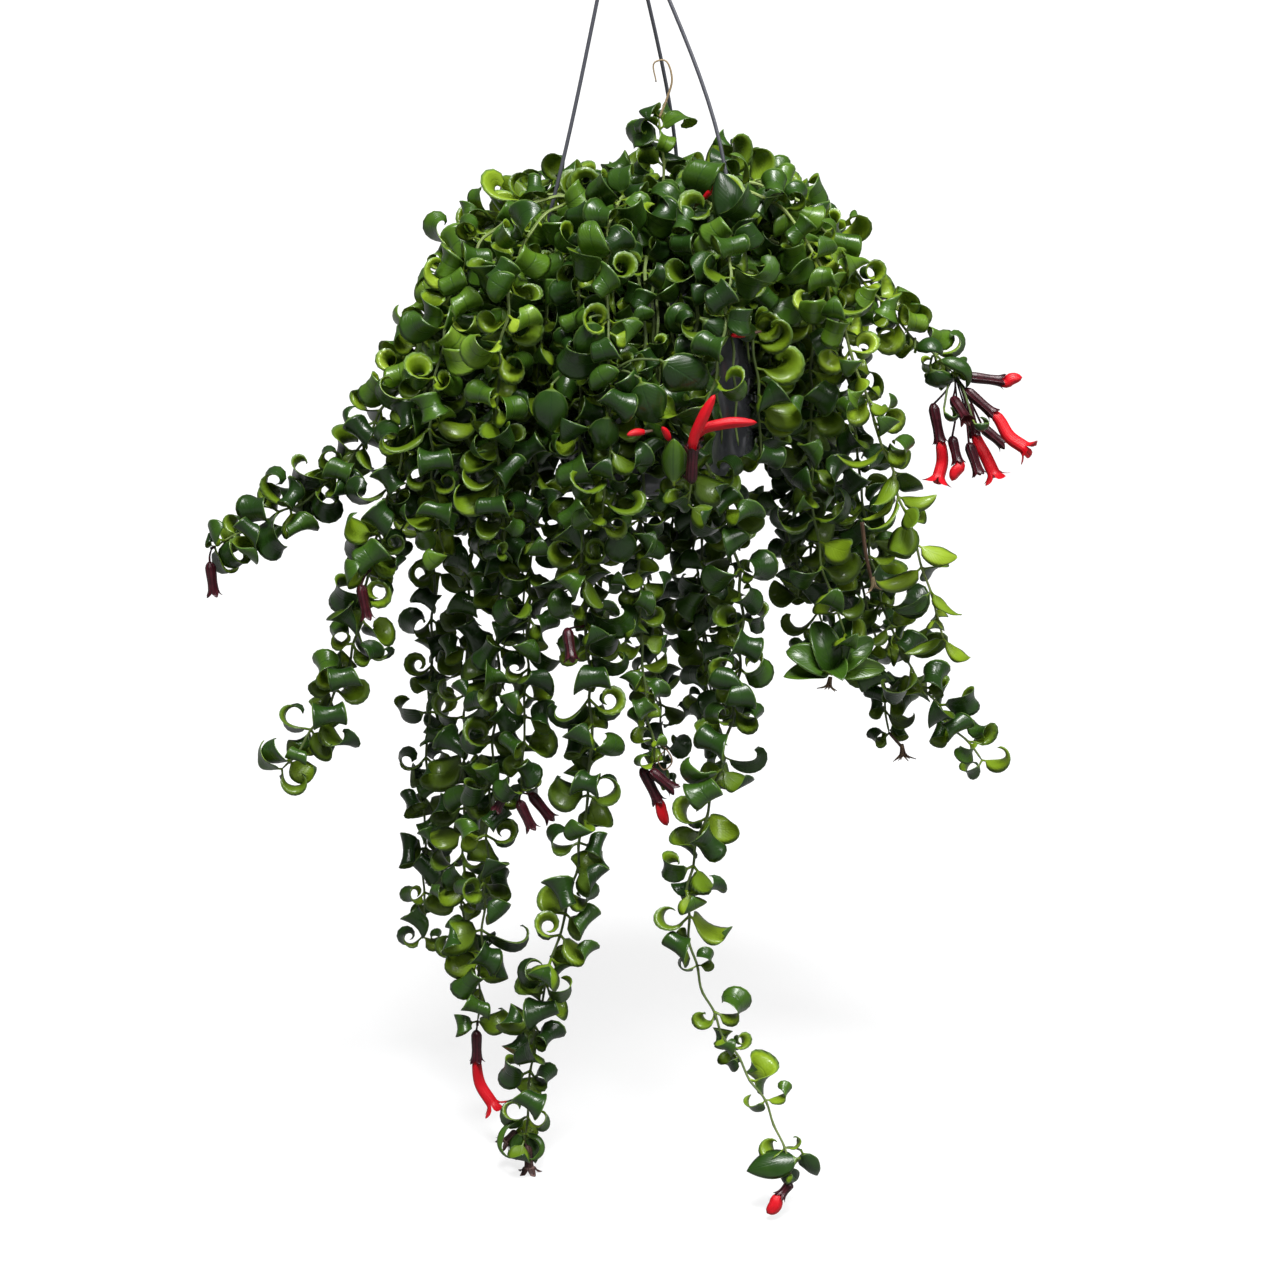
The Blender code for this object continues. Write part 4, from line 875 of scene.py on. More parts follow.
leaf = {
    "length": (0.033, 0.041), "width": (0.020, 0.027), "petiole": 0.0045, "young": (0.45, 0.20),
    "curl": (math.radians(235), math.radians(365)), "tighter": 1.15, "bend": 1.3, "start": math.radians(-38),
    "startSpread": 0.30, "drift": 0.18, "twist": 0.45, "swing": 0.14, "spin": 0.70, "strides": (3, 3, 3, 2),
    "flatCurl": {"right_pale": 0.22, "right_rosette": 0.55, "front_thin": 0.85},
    "scale": {"front_thin": 0.72, "right_pale": 0.86}, "edge": (0.3, 1.0), "keen": (0.68, 1.10),
    # rings of ten points: seven over the waxy upper face from edge to edge, three back under it
    "across": np.array([-1, -0.78, -0.4, 0, 0.4, 0.78, 1, 0.6, 0, -0.6]), "upperPoints": 7,
    "stations": 15, "pathSteps": 48, "lift": 0.0056, "thick": 0.0015, "wave": 0.0008, "stalk": 0.00095,
    "leastHalf": 0.00025, "thinning": 0.35, "offBeat": 1.9,
    # powers: rings crowd towards the tip, the foot is full, the tip drifts, and edges lift and ripple
    "crowding": 0.88, "fullness": 0.55, "drifting": 1.5, "lifting": 2.1, "rippling": 3,
    "leastSize": 0.3, "shrink": 0.85,  # a leaf past the box shrinks so much at a time, down to the least
}
# The leaves that the plain solids leave out. A bend over 1 curls a leaf most at its tip.
freeLeaf = {
    "length": (0.032, 0.042), "width": (0.019, 0.027), "petiole": (0.7, 1.3), "young": (0.78, 0.08),
    "crownGrowth": 0.95, "swing": 0.75, "start": 0.38, "spin": 1.0,
    "seed": 500, "crownFrom": -0.47, "crownDepth": 0.12,
    # how often a place is tried, what its leaf may cut, and how much a cut stem or flower counts
    "tries": 7, "cutsAllowed": 3, "near": 0.034, "stemCut": 2, "flowerCut": 4,
    # how many more leaves a stem bears between its pairs, and in the crown
    "between": {"left_far": 1.2, "left_low": 1.0, "right_pale": 0.0, "front_thin": 0.2, "crown": 0.2,
                "right_far": 0.5, "right_middle": 0.5, "right_rosette": 0.0},
    "everyBetween": 0.18, "crownBetween": 1.2,
    # past this share of the stem, how many leaves are missing and how small the others are
    "sparse": {"front_right_long": (0.76, 0.45, 0.62)},
    # share of the leaves, curl in radians, bend, twist, drift, growth in length, lift of the edges
    "kinds": ((0.48, (5.6, 7.6), (1.30, 1.60), 0.45, 0.25, 1.00, (0.25, 1.10)),
              (0.20, (4.4, 5.8), (1.10, 1.40), 0.40, 0.22, 1.00, (0.10, 1.00)),
              (0.14, (3.8, 5.8), (2.00, 2.80), 1.20, 0.30, 1.10, (0.20, 0.90)),
              (0.18, (2.6, 4.2), (1.20, 1.60), 0.60, 0.12, 0.90, (-0.45, 0.50))),
    # flat stems are flat and slim only past this share
    "slim": {"right_pale": 0.72}, "flatFrom": 0.71, "leastFlat": 0.8,
}


def clamped(share):
    return min(1.0, max(0.0, share))


def youngShare(kind, left):
    # how far a leaf has grown, so many nodes before the tip
    least, more = kind["young"]
    return min(1.0, least + more * left)


def finishForm(form, rng):
    low, high = form["edge"]
    form["phase"], form["tone"] = rng.uniform(0, math.tau), rng.betavariate(2.0, 2.6)
    form["ripple"], form["lifts"] = rng.uniform(6, 11), (rng.uniform(low, high), rng.uniform(low, high))
    form["keen"] = rng.uniform(*leaf["keen"])
    return form


def scaleForm(form, by):
    for key in ("length", "width", "petiole", "size"):
        form[key] *= by


def leafForm(name, stem, node, side, young):
    rng = random.Random(stem * 1000 + node * 2 + side)
    size = young * leaf["scale"].get(name, 1.0)
    flat = leaf["flatCurl"].get(name, 1.0)
    form = {
        "length": rng.uniform(*leaf["length"]) * size, "width": rng.uniform(*leaf["width"]) * size,
        "petiole": leaf["petiole"] * size,
        "start": leaf["start"] + rng.uniform(-leaf["startSpread"], leaf["startSpread"]),
        "curl": rng.uniform(*leaf["curl"]) * flat * (0.55 + 0.45 * young) * leaf["tighter"],
        **{key: rng.uniform(-leaf[key], leaf[key]) for key in ("drift", "twist", "swing", "spin")},
        "size": size, "bend": leaf["bend"], "edge": leaf["edge"],
    }
    return finishForm(form, rng)


def freeForm(name, young, crown, share, rng):
    kinds = freeLeaf["kinds"]
    _, curl, bend, twist, drift, growth, edge = rng.choices(kinds, [kind[0] for kind in kinds])[0]
    flat, slim = leaf["flatCurl"].get(name, 1.0), freeLeaf["slim"].get(name, 1.0)
    if share < freeLeaf["flatFrom"]:
        flat, slim = max(flat, freeLeaf["leastFlat"]), 1.0
    size = young * leaf["scale"].get(name, 1.0) * (1 + (freeLeaf["crownGrowth"] - 1) * crown)
    form = {
        "length": rng.uniform(*freeLeaf["length"]) * size * growth,
        "width": rng.uniform(*freeLeaf["width"]) * size * slim,
        "petiole": leaf["petiole"] * size * rng.uniform(*freeLeaf["petiole"]),
        "start": leaf["start"] + rng.uniform(-freeLeaf["start"], freeLeaf["start"]),
        "curl": rng.uniform(*curl) * flat * (0.55 + 0.45 * young),
        "bend": rng.uniform(*bend), "drift": rng.uniform(-drift, drift), "twist": rng.uniform(-twist, twist),
        "swing": rng.uniform(-freeLeaf["swing"], freeLeaf["swing"]), "size": size,
        "spin": rng.uniform(-freeLeaf["spin"], freeLeaf["spin"]), "edge": edge,
    }
    return finishForm(form, rng)


def leafRings(form, origin, tangent, out):
    tangent, out = np.array(Matrix.Rotation(form["spin"], 3, out) @ tangent), np.array(out)
    side, steps, keen = np.cross(tangent, out), leaf["pathSteps"], form["keen"]
    # the middle line, curled in short legs from the end of the petiole
    s = np.linspace(0, 1, steps + 1)
    turn = form["start"] + form["curl"] * ((s[:-1] + s[1:]) / 2) ** form["bend"]
    legs = (np.cos(turn)[:, None] * out - np.sin(turn)[:, None] * tangent) * form["length"] / steps
    onward = math.cos(form["start"]) * out - math.sin(form["start"]) * tangent
    base = np.array(origin) + form["petiole"] * onward
    path = base + np.vstack([np.zeros(3), np.cumsum(legs, axis=0)])
    shares = np.linspace(0, 1, leaf["stations"]) ** leaf["crowding"]
    centres = np.column_stack([np.interp(shares, s, path[:, k]) for k in range(3)])
    centres += side * (form["drift"] * form["length"] * shares ** leaf["drifting"])[:, None]
    # the way across it and its normal, which roll towards the tip
    turn = form["start"] + form["curl"] * shares ** form["bend"]
    normals = np.sin(turn)[:, None] * out + np.cos(turn)[:, None] * tangent
    roll = (form["twist"] * shares)[:, None]
    sides = side * np.cos(roll) + normals * np.sin(roll)
    normals = normals * np.cos(roll) - side * np.sin(roll)
    full = leaf["fullness"]
    widest = full / (full + keen)
    relative = shares ** full * (1 - shares) ** keen / (widest ** full * (1 - widest) ** keen)
    half = np.maximum(relative * form["width"] / 2, leaf["leastHalf"])
    half[0] = leaf["stalk"] * form["size"]
    # two more rings for the petiole
    stalk = np.array([-form["petiole"] - 0.0004, -form["petiole"] * 0.5])
    centres = np.vstack([base + stalk[:, None] * onward, centres])
    sides, normals = (np.vstack([rows[:1], rows[:1], rows]) for rows in (sides, normals))
    half = np.concatenate([[leaf["stalk"] * 1.15 * form["size"], leaf["stalk"] * form["size"]], half])
    relative, along = (np.concatenate([[0, 0], row]) for row in (relative, shares))
    thick = np.where(relative > 0.05, leaf["thick"] * (1 - leaf["thinning"] * along) / 2, half)
    thick = np.minimum(thick, half)
    # how far each point of a ring stands off: edges lifted and rippled, and the two faces apart
    across = leaf["across"]
    bowl = np.abs(across) ** leaf["lifting"] * np.where(across > 0, *form["lifts"])
    beat = np.where(across > 0, leaf["offBeat"], 0)
    wave = np.sin(along[:, None] * form["ripple"] + form["phase"] + beat[None, :])
    wave = wave * np.abs(across) ** leaf["rippling"]
    rise = relative[:, None] * (leaf["lift"] * form["size"] * bowl[None, :] + leaf["wave"] * wave)
    isUpper = np.arange(len(across)) < leaf["upperPoints"]
    skin = np.sqrt(np.maximum(0, 1 - across ** 2)) * np.where(isUpper, 1, -1)
    rise = rise + thick[:, None] * skin[None, :]
    reach = across[None, :] * half[:, None]
    rings = centres[:, None] + sides[:, None] * reach[..., None] + normals[:, None] * rise[..., None]
    # tone, how far along, how far across, and the face: 0 above, 1 below, half at the edges
    face = np.where(isUpper, 0.0, 1.0)
    face[[0, leaf["upperPoints"] - 1]] = 0.5
    data = np.zeros((len(rings), len(across), 4))
    data[..., 0], data[..., 1] = form["tone"], along[:, None]
    data[..., 2], data[..., 3] = across[None, :] / 2 + 0.5, face[None, :]
    data[:3, :, 3] = 0.9
    return rings, data


def insideBox(rings):
    flat = rings.reshape(-1, 3)
    low, high = np.array(cadBox[0]) + leafMargin, np.array(cadBox[1]) - leafMargin
    return (flat > low).all() and (flat < high).all()


def plainLeaves(count):
    # the leaves that the plain solids have: (node, side)
    found, strides = [stems["firstNode"]], itertools.cycle(leaf["strides"])
    while found[-1] < count - 2:
        found.append(min(found[-1] + next(strides), count - 2))
    return {(node, (i // 2) % 2) for i, node in enumerate(found)}


def leafSheet(rings):
    # a leaf's middle, and a thin sheet along its edges and middle line that tells what it cuts
    rows = rings[3::2, [0, 3, 6]]
    faces = [(3 * i + j, 3 * i + j + 1, 3 * i + j + 4, 3 * i + j + 3)
             for i in range(len(rows) - 1) for j in (0, 1)]
    tree = BVHTree.FromPolygons(rows.reshape(-1, 3).tolist(), faces, epsilon=0.0004)
    return rows.mean(axis=(0, 1)), tree


class Foliage:
    # the leaves grown so far, and the stems, flowers and rod that new ones keep clear of
    def __init__(self, stemTree, flowerTree):
        self.middles, self.sheets = [], []
        self.stems, self.flowers, self.rod = stemTree, flowerTree, rodInSight()

    def cuts(self, rings):
        middle, sheet = leafSheet(rings)
        found = len(sheet.overlap(self.stems)) * freeLeaf["stemCut"]
        found += len(sheet.overlap(self.flowers)) * freeLeaf["flowerCut"]
        if self.middles:
            near = np.linalg.norm(np.array(self.middles) - middle, axis=1) < freeLeaf["near"]
            found += sum(len(sheet.overlap(self.sheets[i])) for i in np.flatnonzero(near))
        return found

    def keep(self, made, rings, data):
        made.addRings(rings, data, clockwise=True)
        middle, sheet = leafSheet(rings)
        self.middles.append(middle)
        self.sheets.append(sheet)


# where the pot's wall shows between the leaves: x, and the height at its wall along the line of sight
potGap = {"x": (0.0705, 0.0905), "height": (-0.424, -0.350), "wallAt": -0.05, "slope": 0.18}


def hidesPot(rings):
    x, y, z = rings.reshape(-1, 3).T
    height = z + potGap["slope"] * (y - potGap["wallAt"])
    inGap = (x > potGap["x"][0]) & (x < potGap["x"][1]) & (y < potGap["wallAt"] + 0.02)
    return (inGap & (height > potGap["height"][0]) & (height < potGap["height"][1])).any()


# the stretch of the left rod that shows in front of the crown, and how far leaves keep off it
shownRod = {"lug": 0, "height": (-0.266, -0.160), "clear": 0.0035}


def seenFrom(points):
    # across, up and away from the camera, the first two as shares of the last
    down = math.radians(studio["cameraDown"])
    x, y, z = (points - np.array(studio["cameraAt"])).T
    away = y * math.cos(down) - z * math.sin(down)
    return np.column_stack([x / away, (y * math.sin(down) + z * math.cos(down)) / away]), away


def rodInSight():
    low, high = shownRod["height"]
    route = rodRoute(pot["lugs"][shownRod["lug"]], hanger["bends"][shownRod["lug"]])
    points = spread([leant(p) for p in route], 0.002)
    return seenFrom(points[(points[:, 2] > low) & (points[:, 2] < high)])


def hidesRod(rings, rod):
    (spots, away), (rodSpots, rodAway) = seenFrom(rings.reshape(-1, 3)), rod
    near = np.linalg.norm(spots[:, None] - rodSpots[None], axis=2) * away[:, None] < shownRod["clear"]
    return (near & (away[:, None] < rodAway[None])).any()


# hanging stems are browner, the crown and young tips are fresh and pale
stemTones = {"least": 0.25, "crown": 0.45, "crownFrom": -0.36, "crownDepth": 0.12, "tip": 0.25,
             "stems": {"right_pale": 0.35}}


def stemTone(name, share, z):
    crown = max(0.0, (z - stemTones["crownFrom"]) / stemTones["crownDepth"])
    fresh = stemTones["least"] + stemTones["crown"] * crown + stemTones["tip"] * share ** 3
    return min(1.0, fresh + stemTones["stems"].get(name, 0.0))


leafTones = {
    # where the crown and its sides with painted sunlight begin, and how soon each is full
    "crownFrom": -0.42, "crownDepth": 0.10, "middle": 0.02, "paintedSunlightFrom": 0.05, "paintedSunlightDepth": 0.08,
    # how much lighter leaves are in the crown and on its sides, as painted light from above and painted
    # sunlight, and while they are young, and how far their tones differ
    "crown": 0.10, "paintedSunlight": 0.30, "young": 0.40, "spread": 0.70, "crownSpread": 0.04,
    # how much lighter a stem's leaves are at its tip
    "stems": {"right_pale": 0.24, "right_rosette": 0.06, "front_right_long": 0.22, "left_crown": 0.20,
              "left_low": 0.06, "front_thin": 0.30},
}


def leafTone(form, name, young, share, spot):
    tones = leafTones
    # painted light: leaves high in the crown, and more so on its sides, are made lighter as though the light
    # falls there
    inCrown = clamped((spot.z - tones["crownFrom"]) / tones["crownDepth"])
    aside = abs(spot.x - tones["middle"])
    paintedSunlight = clamped((aside - tones["paintedSunlightFrom"]) / tones["paintedSunlightDepth"]) * inCrown
    lighter = tones["stems"].get(name, 0.0) * share ** 2 + tones["crown"] * inCrown
    lighter = lighter + tones["paintedSunlight"] * paintedSunlight + tones["young"] * (1 - young)
    return clamped(form["tone"] * (tones["spread"] + tones["crownSpread"] * inCrown) + lighter)


def fitInBox(form, origin, tangent, out):
    rings, data = leafRings(form, origin, tangent, out)
    while not insideBox(rings) and form["size"] > leaf["leastSize"]:
        scaleForm(form, leaf["shrink"])
        rings, data = leafRings(form, origin, tangent, out)
    return (rings, data) if insideBox(rings) else None


def pairTurn(node, side, axis):
    # leaves stand in pairs, each pair square to the last
    return Matrix.Rotation(math.pi / 2 * (node % 2) + math.pi * side, 3, axis)


def addPlainLeaves(index, name, nodes, bent, made, foliage):
    # same places and turns as in the plain solids
    count = len(nodes)
    tangents, across, _ = carriedFrames(nodes)
    kept, flats = flatsOf(nodes)
    for node, side in sorted(plainLeaves(count)):
        origin, tangent = Vector(bent[node]), Vector(tangents[node])
        young = youngShare(leaf, count - 1 - node)
        form = leafForm(name, index, node, side, young)
        spot, chord = onChord(nodes, kept, node)
        lying = Vector(across[node]) - chord * Vector(across[node]).dot(chord)
        guess = pairTurn(node, side, chord) @ lying.normalized()
        out = flats.find_nearest(spot + guess * stems["wire"])[1]
        out = (out - tangent * out.dot(tangent)).normalized()
        out = Matrix.Rotation(form["swing"], 3, tangent) @ out
        form["tone"] = leafTone(form, name, young, node / count, origin)
        grown = fitInBox(form, origin, tangent, out)
        if grown:
            foliage.keep(made, *grown)


def addFreeLeaves(index, name, nodes, made, foliage, taken):
    count, rng = len(nodes), random.Random(index + freeLeaf["seed"])
    tangents, across, _ = carriedFrames(nodes)
    sparseFrom, missing, smaller = freeLeaf["sparse"].get(name, (1.0, 0.0, 1.0))
    for node in range(stems["firstNode"], count):
        origin, tangent, share = Vector(nodes[node]), Vector(tangents[node]), node / count
        young = youngShare(freeLeaf, count - 1 - node)
        crown = clamped((origin.z - freeLeaf["crownFrom"]) / freeLeaf["crownDepth"])
        kept, growth = (1 - missing, smaller) if share > sparseFrom else (1.0, 1.0)
        more = freeLeaf["between"].get(name, freeLeaf["everyBetween"]) + freeLeaf["crownBetween"] * crown
        for side in (0, 1, 0.5, 1.5):  # the pair, and two places between this node and the next
            isBetween = side % 1 > 0
            chance = (more / 2 if isBetween else 1.0) * kept
            if (node, side) in taken or rng.random() > chance or (isBetween and node == count - 1):
                continue
            spot = origin.lerp(Vector(nodes[node + 1]), 0.5) if isBetween else origin
            facing = pairTurn(node, side, tangent) @ Vector(across[node])
            best, fewest = None, freeLeaf["cutsAllowed"] + 1
            for _ in range(freeLeaf["tries"]):
                form = freeForm(name, young, crown, share, rng)
                form["tone"] = leafTone(form, name, young, share, origin)
                scaleForm(form, growth)
                grown = fitInBox(form, spot, tangent, Matrix.Rotation(form["swing"], 3, tangent) @ facing)
                if not grown or hidesPot(grown[0]) or hidesRod(grown[0], foliage.rod):
                    continue
                cuts = foliage.cuts(grown[0])
                if cuts < fewest:
                    best, fewest = grown, cuts
                if cuts == 0:
                    break
            if best:
                foliage.keep(made, *best)


# leaves that stand out: start, the way it points and its face looks, length, width, curl, tone
shownLeaves = (
    ((0.0783, -0.095, -0.2685), (-0.08, -0.2, 1), (0.35, -1, 0.25), 0.044, 0.024, 0.9, 0.1),
    ((-0.0439, -0.158, -0.3577), (-0.1, -0.25, -1), (0, -1, 0.15), 0.039, 0.024, 1.5, 0.38),
    ((-0.0187, -0.156, -0.3137), (0.1, -0.2, -1), (0.2, -1, 0.3), 0.034, 0.022, 1.6, 0.4),
    ((0.014, -0.163, -0.3529), (0.25, -0.2, -1), (-0.35, -1, 0.2), 0.04, 0.026, 1.5, 0.34),
    ((0.0271, -0.16, -0.3414), (1, -0.25, -0.55), (-0.2, -1, 0.5), 0.044, 0.029, 1.6, 0.16),
    ((0.0365, -0.165, -0.424), (-0.1, -0.45, 1), (-0.1, -1, -0.1), 0.032, 0.018, 0.35, 0.7),
    ((-0.0077, -0.162, -0.3757), (0, -0.2, -1), (0.45, -1, 0.2), 0.036, 0.021, 1.8, 0.36),
    ((0.0534, -0.15, -0.3153), (0.8, -0.2, -0.6), (-0.5, -1, 0.5), 0.044, 0.02, 3.0, 0.16),
    ((-0.0047, -0.15, -0.4565), (0.5, -0.3, -1), (0, -1, 0.3), 0.037, 0.023, 2.0, 0.28),
    ((0.124, -0.2, -0.889), (-1, -0.2, -0.1), (0, -0.8, 0.7), 0.036, 0.021, 0.6, 0.34),
    ((0.1249, -0.195, -0.8853), (0.45, 0, -1), (-0.3, -1, 0.3), 0.027, 0.014, 0.9, 0.28),
    ((0.118, -0.185, -0.9002), (-0.2, 0.2, -1), (0, -1, 0.3), 0.023, 0.016, 0.8, 0.2),
    ((-0.0704, -0.13, -0.8911), (-1, -0.2, -0.1), (-0.3, 0.1, 1), 0.04, 0.0062, 2.9, 0.62),
    ((-0.069, -0.131, -0.9014), (1, -0.2, 0.2), (0.3, 0.1, 1), 0.034, 0.007, 3.6, 0.6),
    ((-0.0699, -0.128, -0.8996), (-0.3, -0.3, -1), (-0.1, -1, 0), 0.022, 0.013, 0.8, 0.45),
    ((-0.067, -0.128, -0.9027), (0.4, -0.3, -1), (0.1, -1, 0), 0.022, 0.012, 0.8, 0.4),
    ((0.2145, -0.05, -0.3643), (0.35, -0.2, -1), (-0.5, -1, 0.3), 0.038, 0.020, 3.3, 0.26),
    ((0.2044, -0.045, -0.3553), (0.2, -0.5, 1), (-0.5, -0.3, 1), 0.032, 0.02, 3.4, 0.3),
    ((0.2191, -0.045, -0.3623), (1, -0.2, 0.45), (-0.2, -0.2, 1), 0.04, 0.014, 2.8, 0.42),
    ((0.2244, -0.055, -0.3928), (0.1, -0.3, -1), (-1, -0.3, 0.2), 0.026, 0.012, 5.0, 0.4),
    ((0.2447, -0.055, -0.4012), (0.5, -0.4, -1), (-1, -0.4, 0.1), 0.024, 0.011, 4.6, 0.4),
)
# flat pointed leaves round one tip: the way each points, length, width, curl, tone
rosette = {"at": (0.15, -0.052, -0.5845), "facing": (0, -0.75, 0.65), "leaves": (
    ((-0.95, -0.3, 0.2), 0.033, 0.0165, 0.7, 0.74),
    ((-0.55, -0.45, 0.7), 0.038, 0.0215, 1.3, 0.6),
    ((-0.2, -0.5, 1.0), 0.042, 0.0215, 1.6, 0.46),
    ((0.25, 0.0, 1.0), 0.044, 0.022, 1.1, 0.34),
    ((0.5, -0.45, 0.85), 0.04, 0.0195, 1.5, 0.58),
    ((0.9, -0.4, 0.4), 0.037, 0.017, 0.8, 0.76),
    ((1.0, 0.05, 0.1), 0.035, 0.015, 0.6, 0.66),
    ((-0.6, 0.5, 0.8), 0.038, 0.021, 1.0, 0.34),
    ((0.35, 0.6, 0.9), 0.04, 0.02, 1.0, 0.34),
    ((0.05, -0.8, 0.55), 0.03, 0.0185, 1.2, 0.56),
    ((-0.3, 0.1, 1.0), 0.046, 0.019, 2.2, 0.4))}


def nearestNode(point, settled):
    nodes = np.vstack([nodes for _, nodes, _ in settled])
    return Vector(nodes[np.argmin(np.linalg.norm(nodes - np.array(point), axis=1))])


def addTwig(made, points, wide, narrow, tone, kind=0, sides=8):
    route = spread(points, 0.0018)
    made.addTube(route, np.linspace(wide, narrow, len(route)), sides, tone, kind)


def addShownLeaves(settled, foliage):
    made, rng = Stack(), random.Random(77)
    # lift of the edges, how keen the tip is, and the most that the leaf twists
    leaves = [(*each, (-1.3, -0.5), 0.80, 0.4) for each in shownLeaves]
    leaves += [(rosette["at"], way, rosette["facing"], *sizes, (0.4, 1.3), 0.74, 0.9)
               for way, *sizes in rosette["leaves"]]
    for start, way, facing, length, width, curl, tone, edge, keen, twist in leaves:
        start, out = Vector(start), Vector(way).normalized()
        tangent = Vector(facing) - out * Vector(facing).dot(out)
        form = {"length": length, "width": width, "petiole": 0.0025, "start": 0.0, "curl": curl, "bend": 1.2,
                "drift": rng.uniform(-0.08, 0.08), "twist": rng.uniform(-twist, twist),
                "size": min(1.0, width / 0.016), "spin": 0.0, "edge": edge}
        finishForm(form, rng)
        form["tone"], form["keen"] = tone, keen
        grown = fitInBox(form, start, tangent.normalized(), out)
        if grown:
            foliage.keep(made, *grown)
            stem = nearestNode(start, settled)
            middle = stem.lerp(start, 0.5) + Vector((0, 0, 0.12)) * (start - stem).length
            addTwig(made, [stem, middle, start], 0.0009, 0.0008, 0.35, kind=1)
    place(made.build("leafy_shown", [leafMaterial, stemMaterial]), "leafy_stem")


def zigzag(name, nodes):
    # each node stands a little aside, to one side and the other in turn, but not where a flower is fixed
    _, across, along = carriedFrames(nodes)
    still = {len(nodes) - 1 - back for stem, back, _ in blooms.values() if stem == name}
    bent = nodes.copy()
    for i in range(3, len(nodes) - 1):
        if i not in still:
            bent[i] += stems["zigzag"] * (across[i] * (-1) ** i + along[i] * math.sin(i * 2.3))
    return bent


def joinedTree(stacks):
    faces, points = [], []
    for stack in stacks:
        faces += [[i + len(points) for i in face] for face in stack.faces]
        points += np.vstack(stack.points).tolist()
    return BVHTree.FromPolygons(points, faces)


def startStem(name, nodes):
    # thinner towards the tip, and swollen at each node
    made, (thick, taper) = Stack(), stems["thickness"]
    route = spread(nodes, stems["nodeStep"] / 4)
    share = np.linspace(0, 1, len(route))
    step = (len(route) - 1) / (len(nodes) - 1)
    swell = 1 + stems["swell"] * np.exp(-((np.arange(len(route)) / step) % 1 * 4) ** 2 * 2)
    radii = (thick - taper * share) * swell
    radii[-1] *= 0.4
    made.addTube(route, radii, 8, [stemTone(name, t, p[2]) for t, p in zip(share, route)], kind=1)
    return made


def addStems(settled, flowerStacks):
    bent = [zigzag(name, nodes) for name, nodes, _ in settled]
    made = [startStem(name, nodes) for (name, _, _), nodes in zip(settled, bent)]
    foliage = Foliage(joinedTree(made), joinedTree(flowerStacks))
    addShownLeaves(settled, foliage)
    for index, (name, nodes, isCad) in enumerate(settled):
        if isCad:
            addPlainLeaves(index, name, nodes, bent[index], made[index], foliage)
    print("shown and plain leaves grown:", len(foliage.middles))
    for index, (name, nodes, isCad) in enumerate(settled):
        taken = plainLeaves(len(nodes)) if isCad else ()
        addFreeLeaves(index, name, bent[index], made[index], foliage, taken)
    print("all leaves grown:", len(foliage.middles))
    for stack, (name, _, isCad) in zip(made, settled):
        piece = stack.build(f"leafy_{name}", [leafMaterial, stemMaterial])
        place(piece, "leafy_stem", *([f"stem_{name}"] if isCad else []))


# stem, how many nodes before its tip, and the flowers in millimetres from there: base and mouth of the
# calyx, then bend and end of its corolla
blooms = {
    "right_cluster": ("right_flowering", 0, (
        ((10, 0, -3), (34, 0, -6), (40, 0, -5.5), (49, 0, -3.5), "bud"),
        ((8, -10, -10), (27, -15, -26), (39, -20, -42), (54, -25, -52), "open"),
        ((-1, -15, -15), (7, -32, -27)),
        ((-14, -10, -20), (-9, -15, -45), (-7, -15, -61), (-11, -20, -76), "open"),
        ((-1, -17, -42), (3, -22, -58.5), (2, -24, -65), (-1, -26, -72), "bud"),
        ((11, -15, -47), (18, -20, -67)),
        ((23, 12, -41), (38, 12, -53)),
        ((10, 2, -22), (17, 1, -43), (24, -3, -58), (32.5, -8, -75.5), "open"))),
    "centre_pair": ("front_right_short", 1, (
        ((-1, -17, 1), (0, -21, 25), (7, -25, 48), (14, -26, 62), "bud"),
        ((-10, -9, 8), (2, -11, 30), (20, -12, 40), (42, -12, 41), "bud"))),
    "left_flower": ("left_flowering", 0, (((-1, 0, -7), (-1, 0, -29), (1, 0, -48), (13, -5, -67), "open"),)),
    "thin_pair": ("front_thin", 0, (
        ((-9, 0, -4), (2, 0, -27), (5, 0, -36), (9, 0, -46), "bud"), ((-3, -6, -4), (12.5, -6, -17)))),
    "floor_flower": ("front_right_long", 0, (
        ((1, -4, -5), (-6, -7, -13), (-10, -9, -19.5), (-16, -12, -24.5), "bud"),)),
    "far_left_calyx": ("left_far", 0, (((-4, 0, -11), (-2, 0, -33)),)),
    "low_left_calyx": ("left_low", 9, (((-6, -16, -6), (-2, -18, -28)),)),
    "front_calyx": ("front_long", 22, (((-12, -14, 2), (-9, -24, -16)),)),
    "front_left_trio": ("front_left", 0, (
        ((-10, 0, 0), (-17, 0, -14)), ((6, -2, -2), (20, -2, -20)), ((-2, -6, -6), (7, -8, -25)))),
    "dried_calyces": ("front_long", 0, (((2, 0, -4), (3, 0, -22)), ((-6, 6, 4), (-14, 6, -4)))),
}
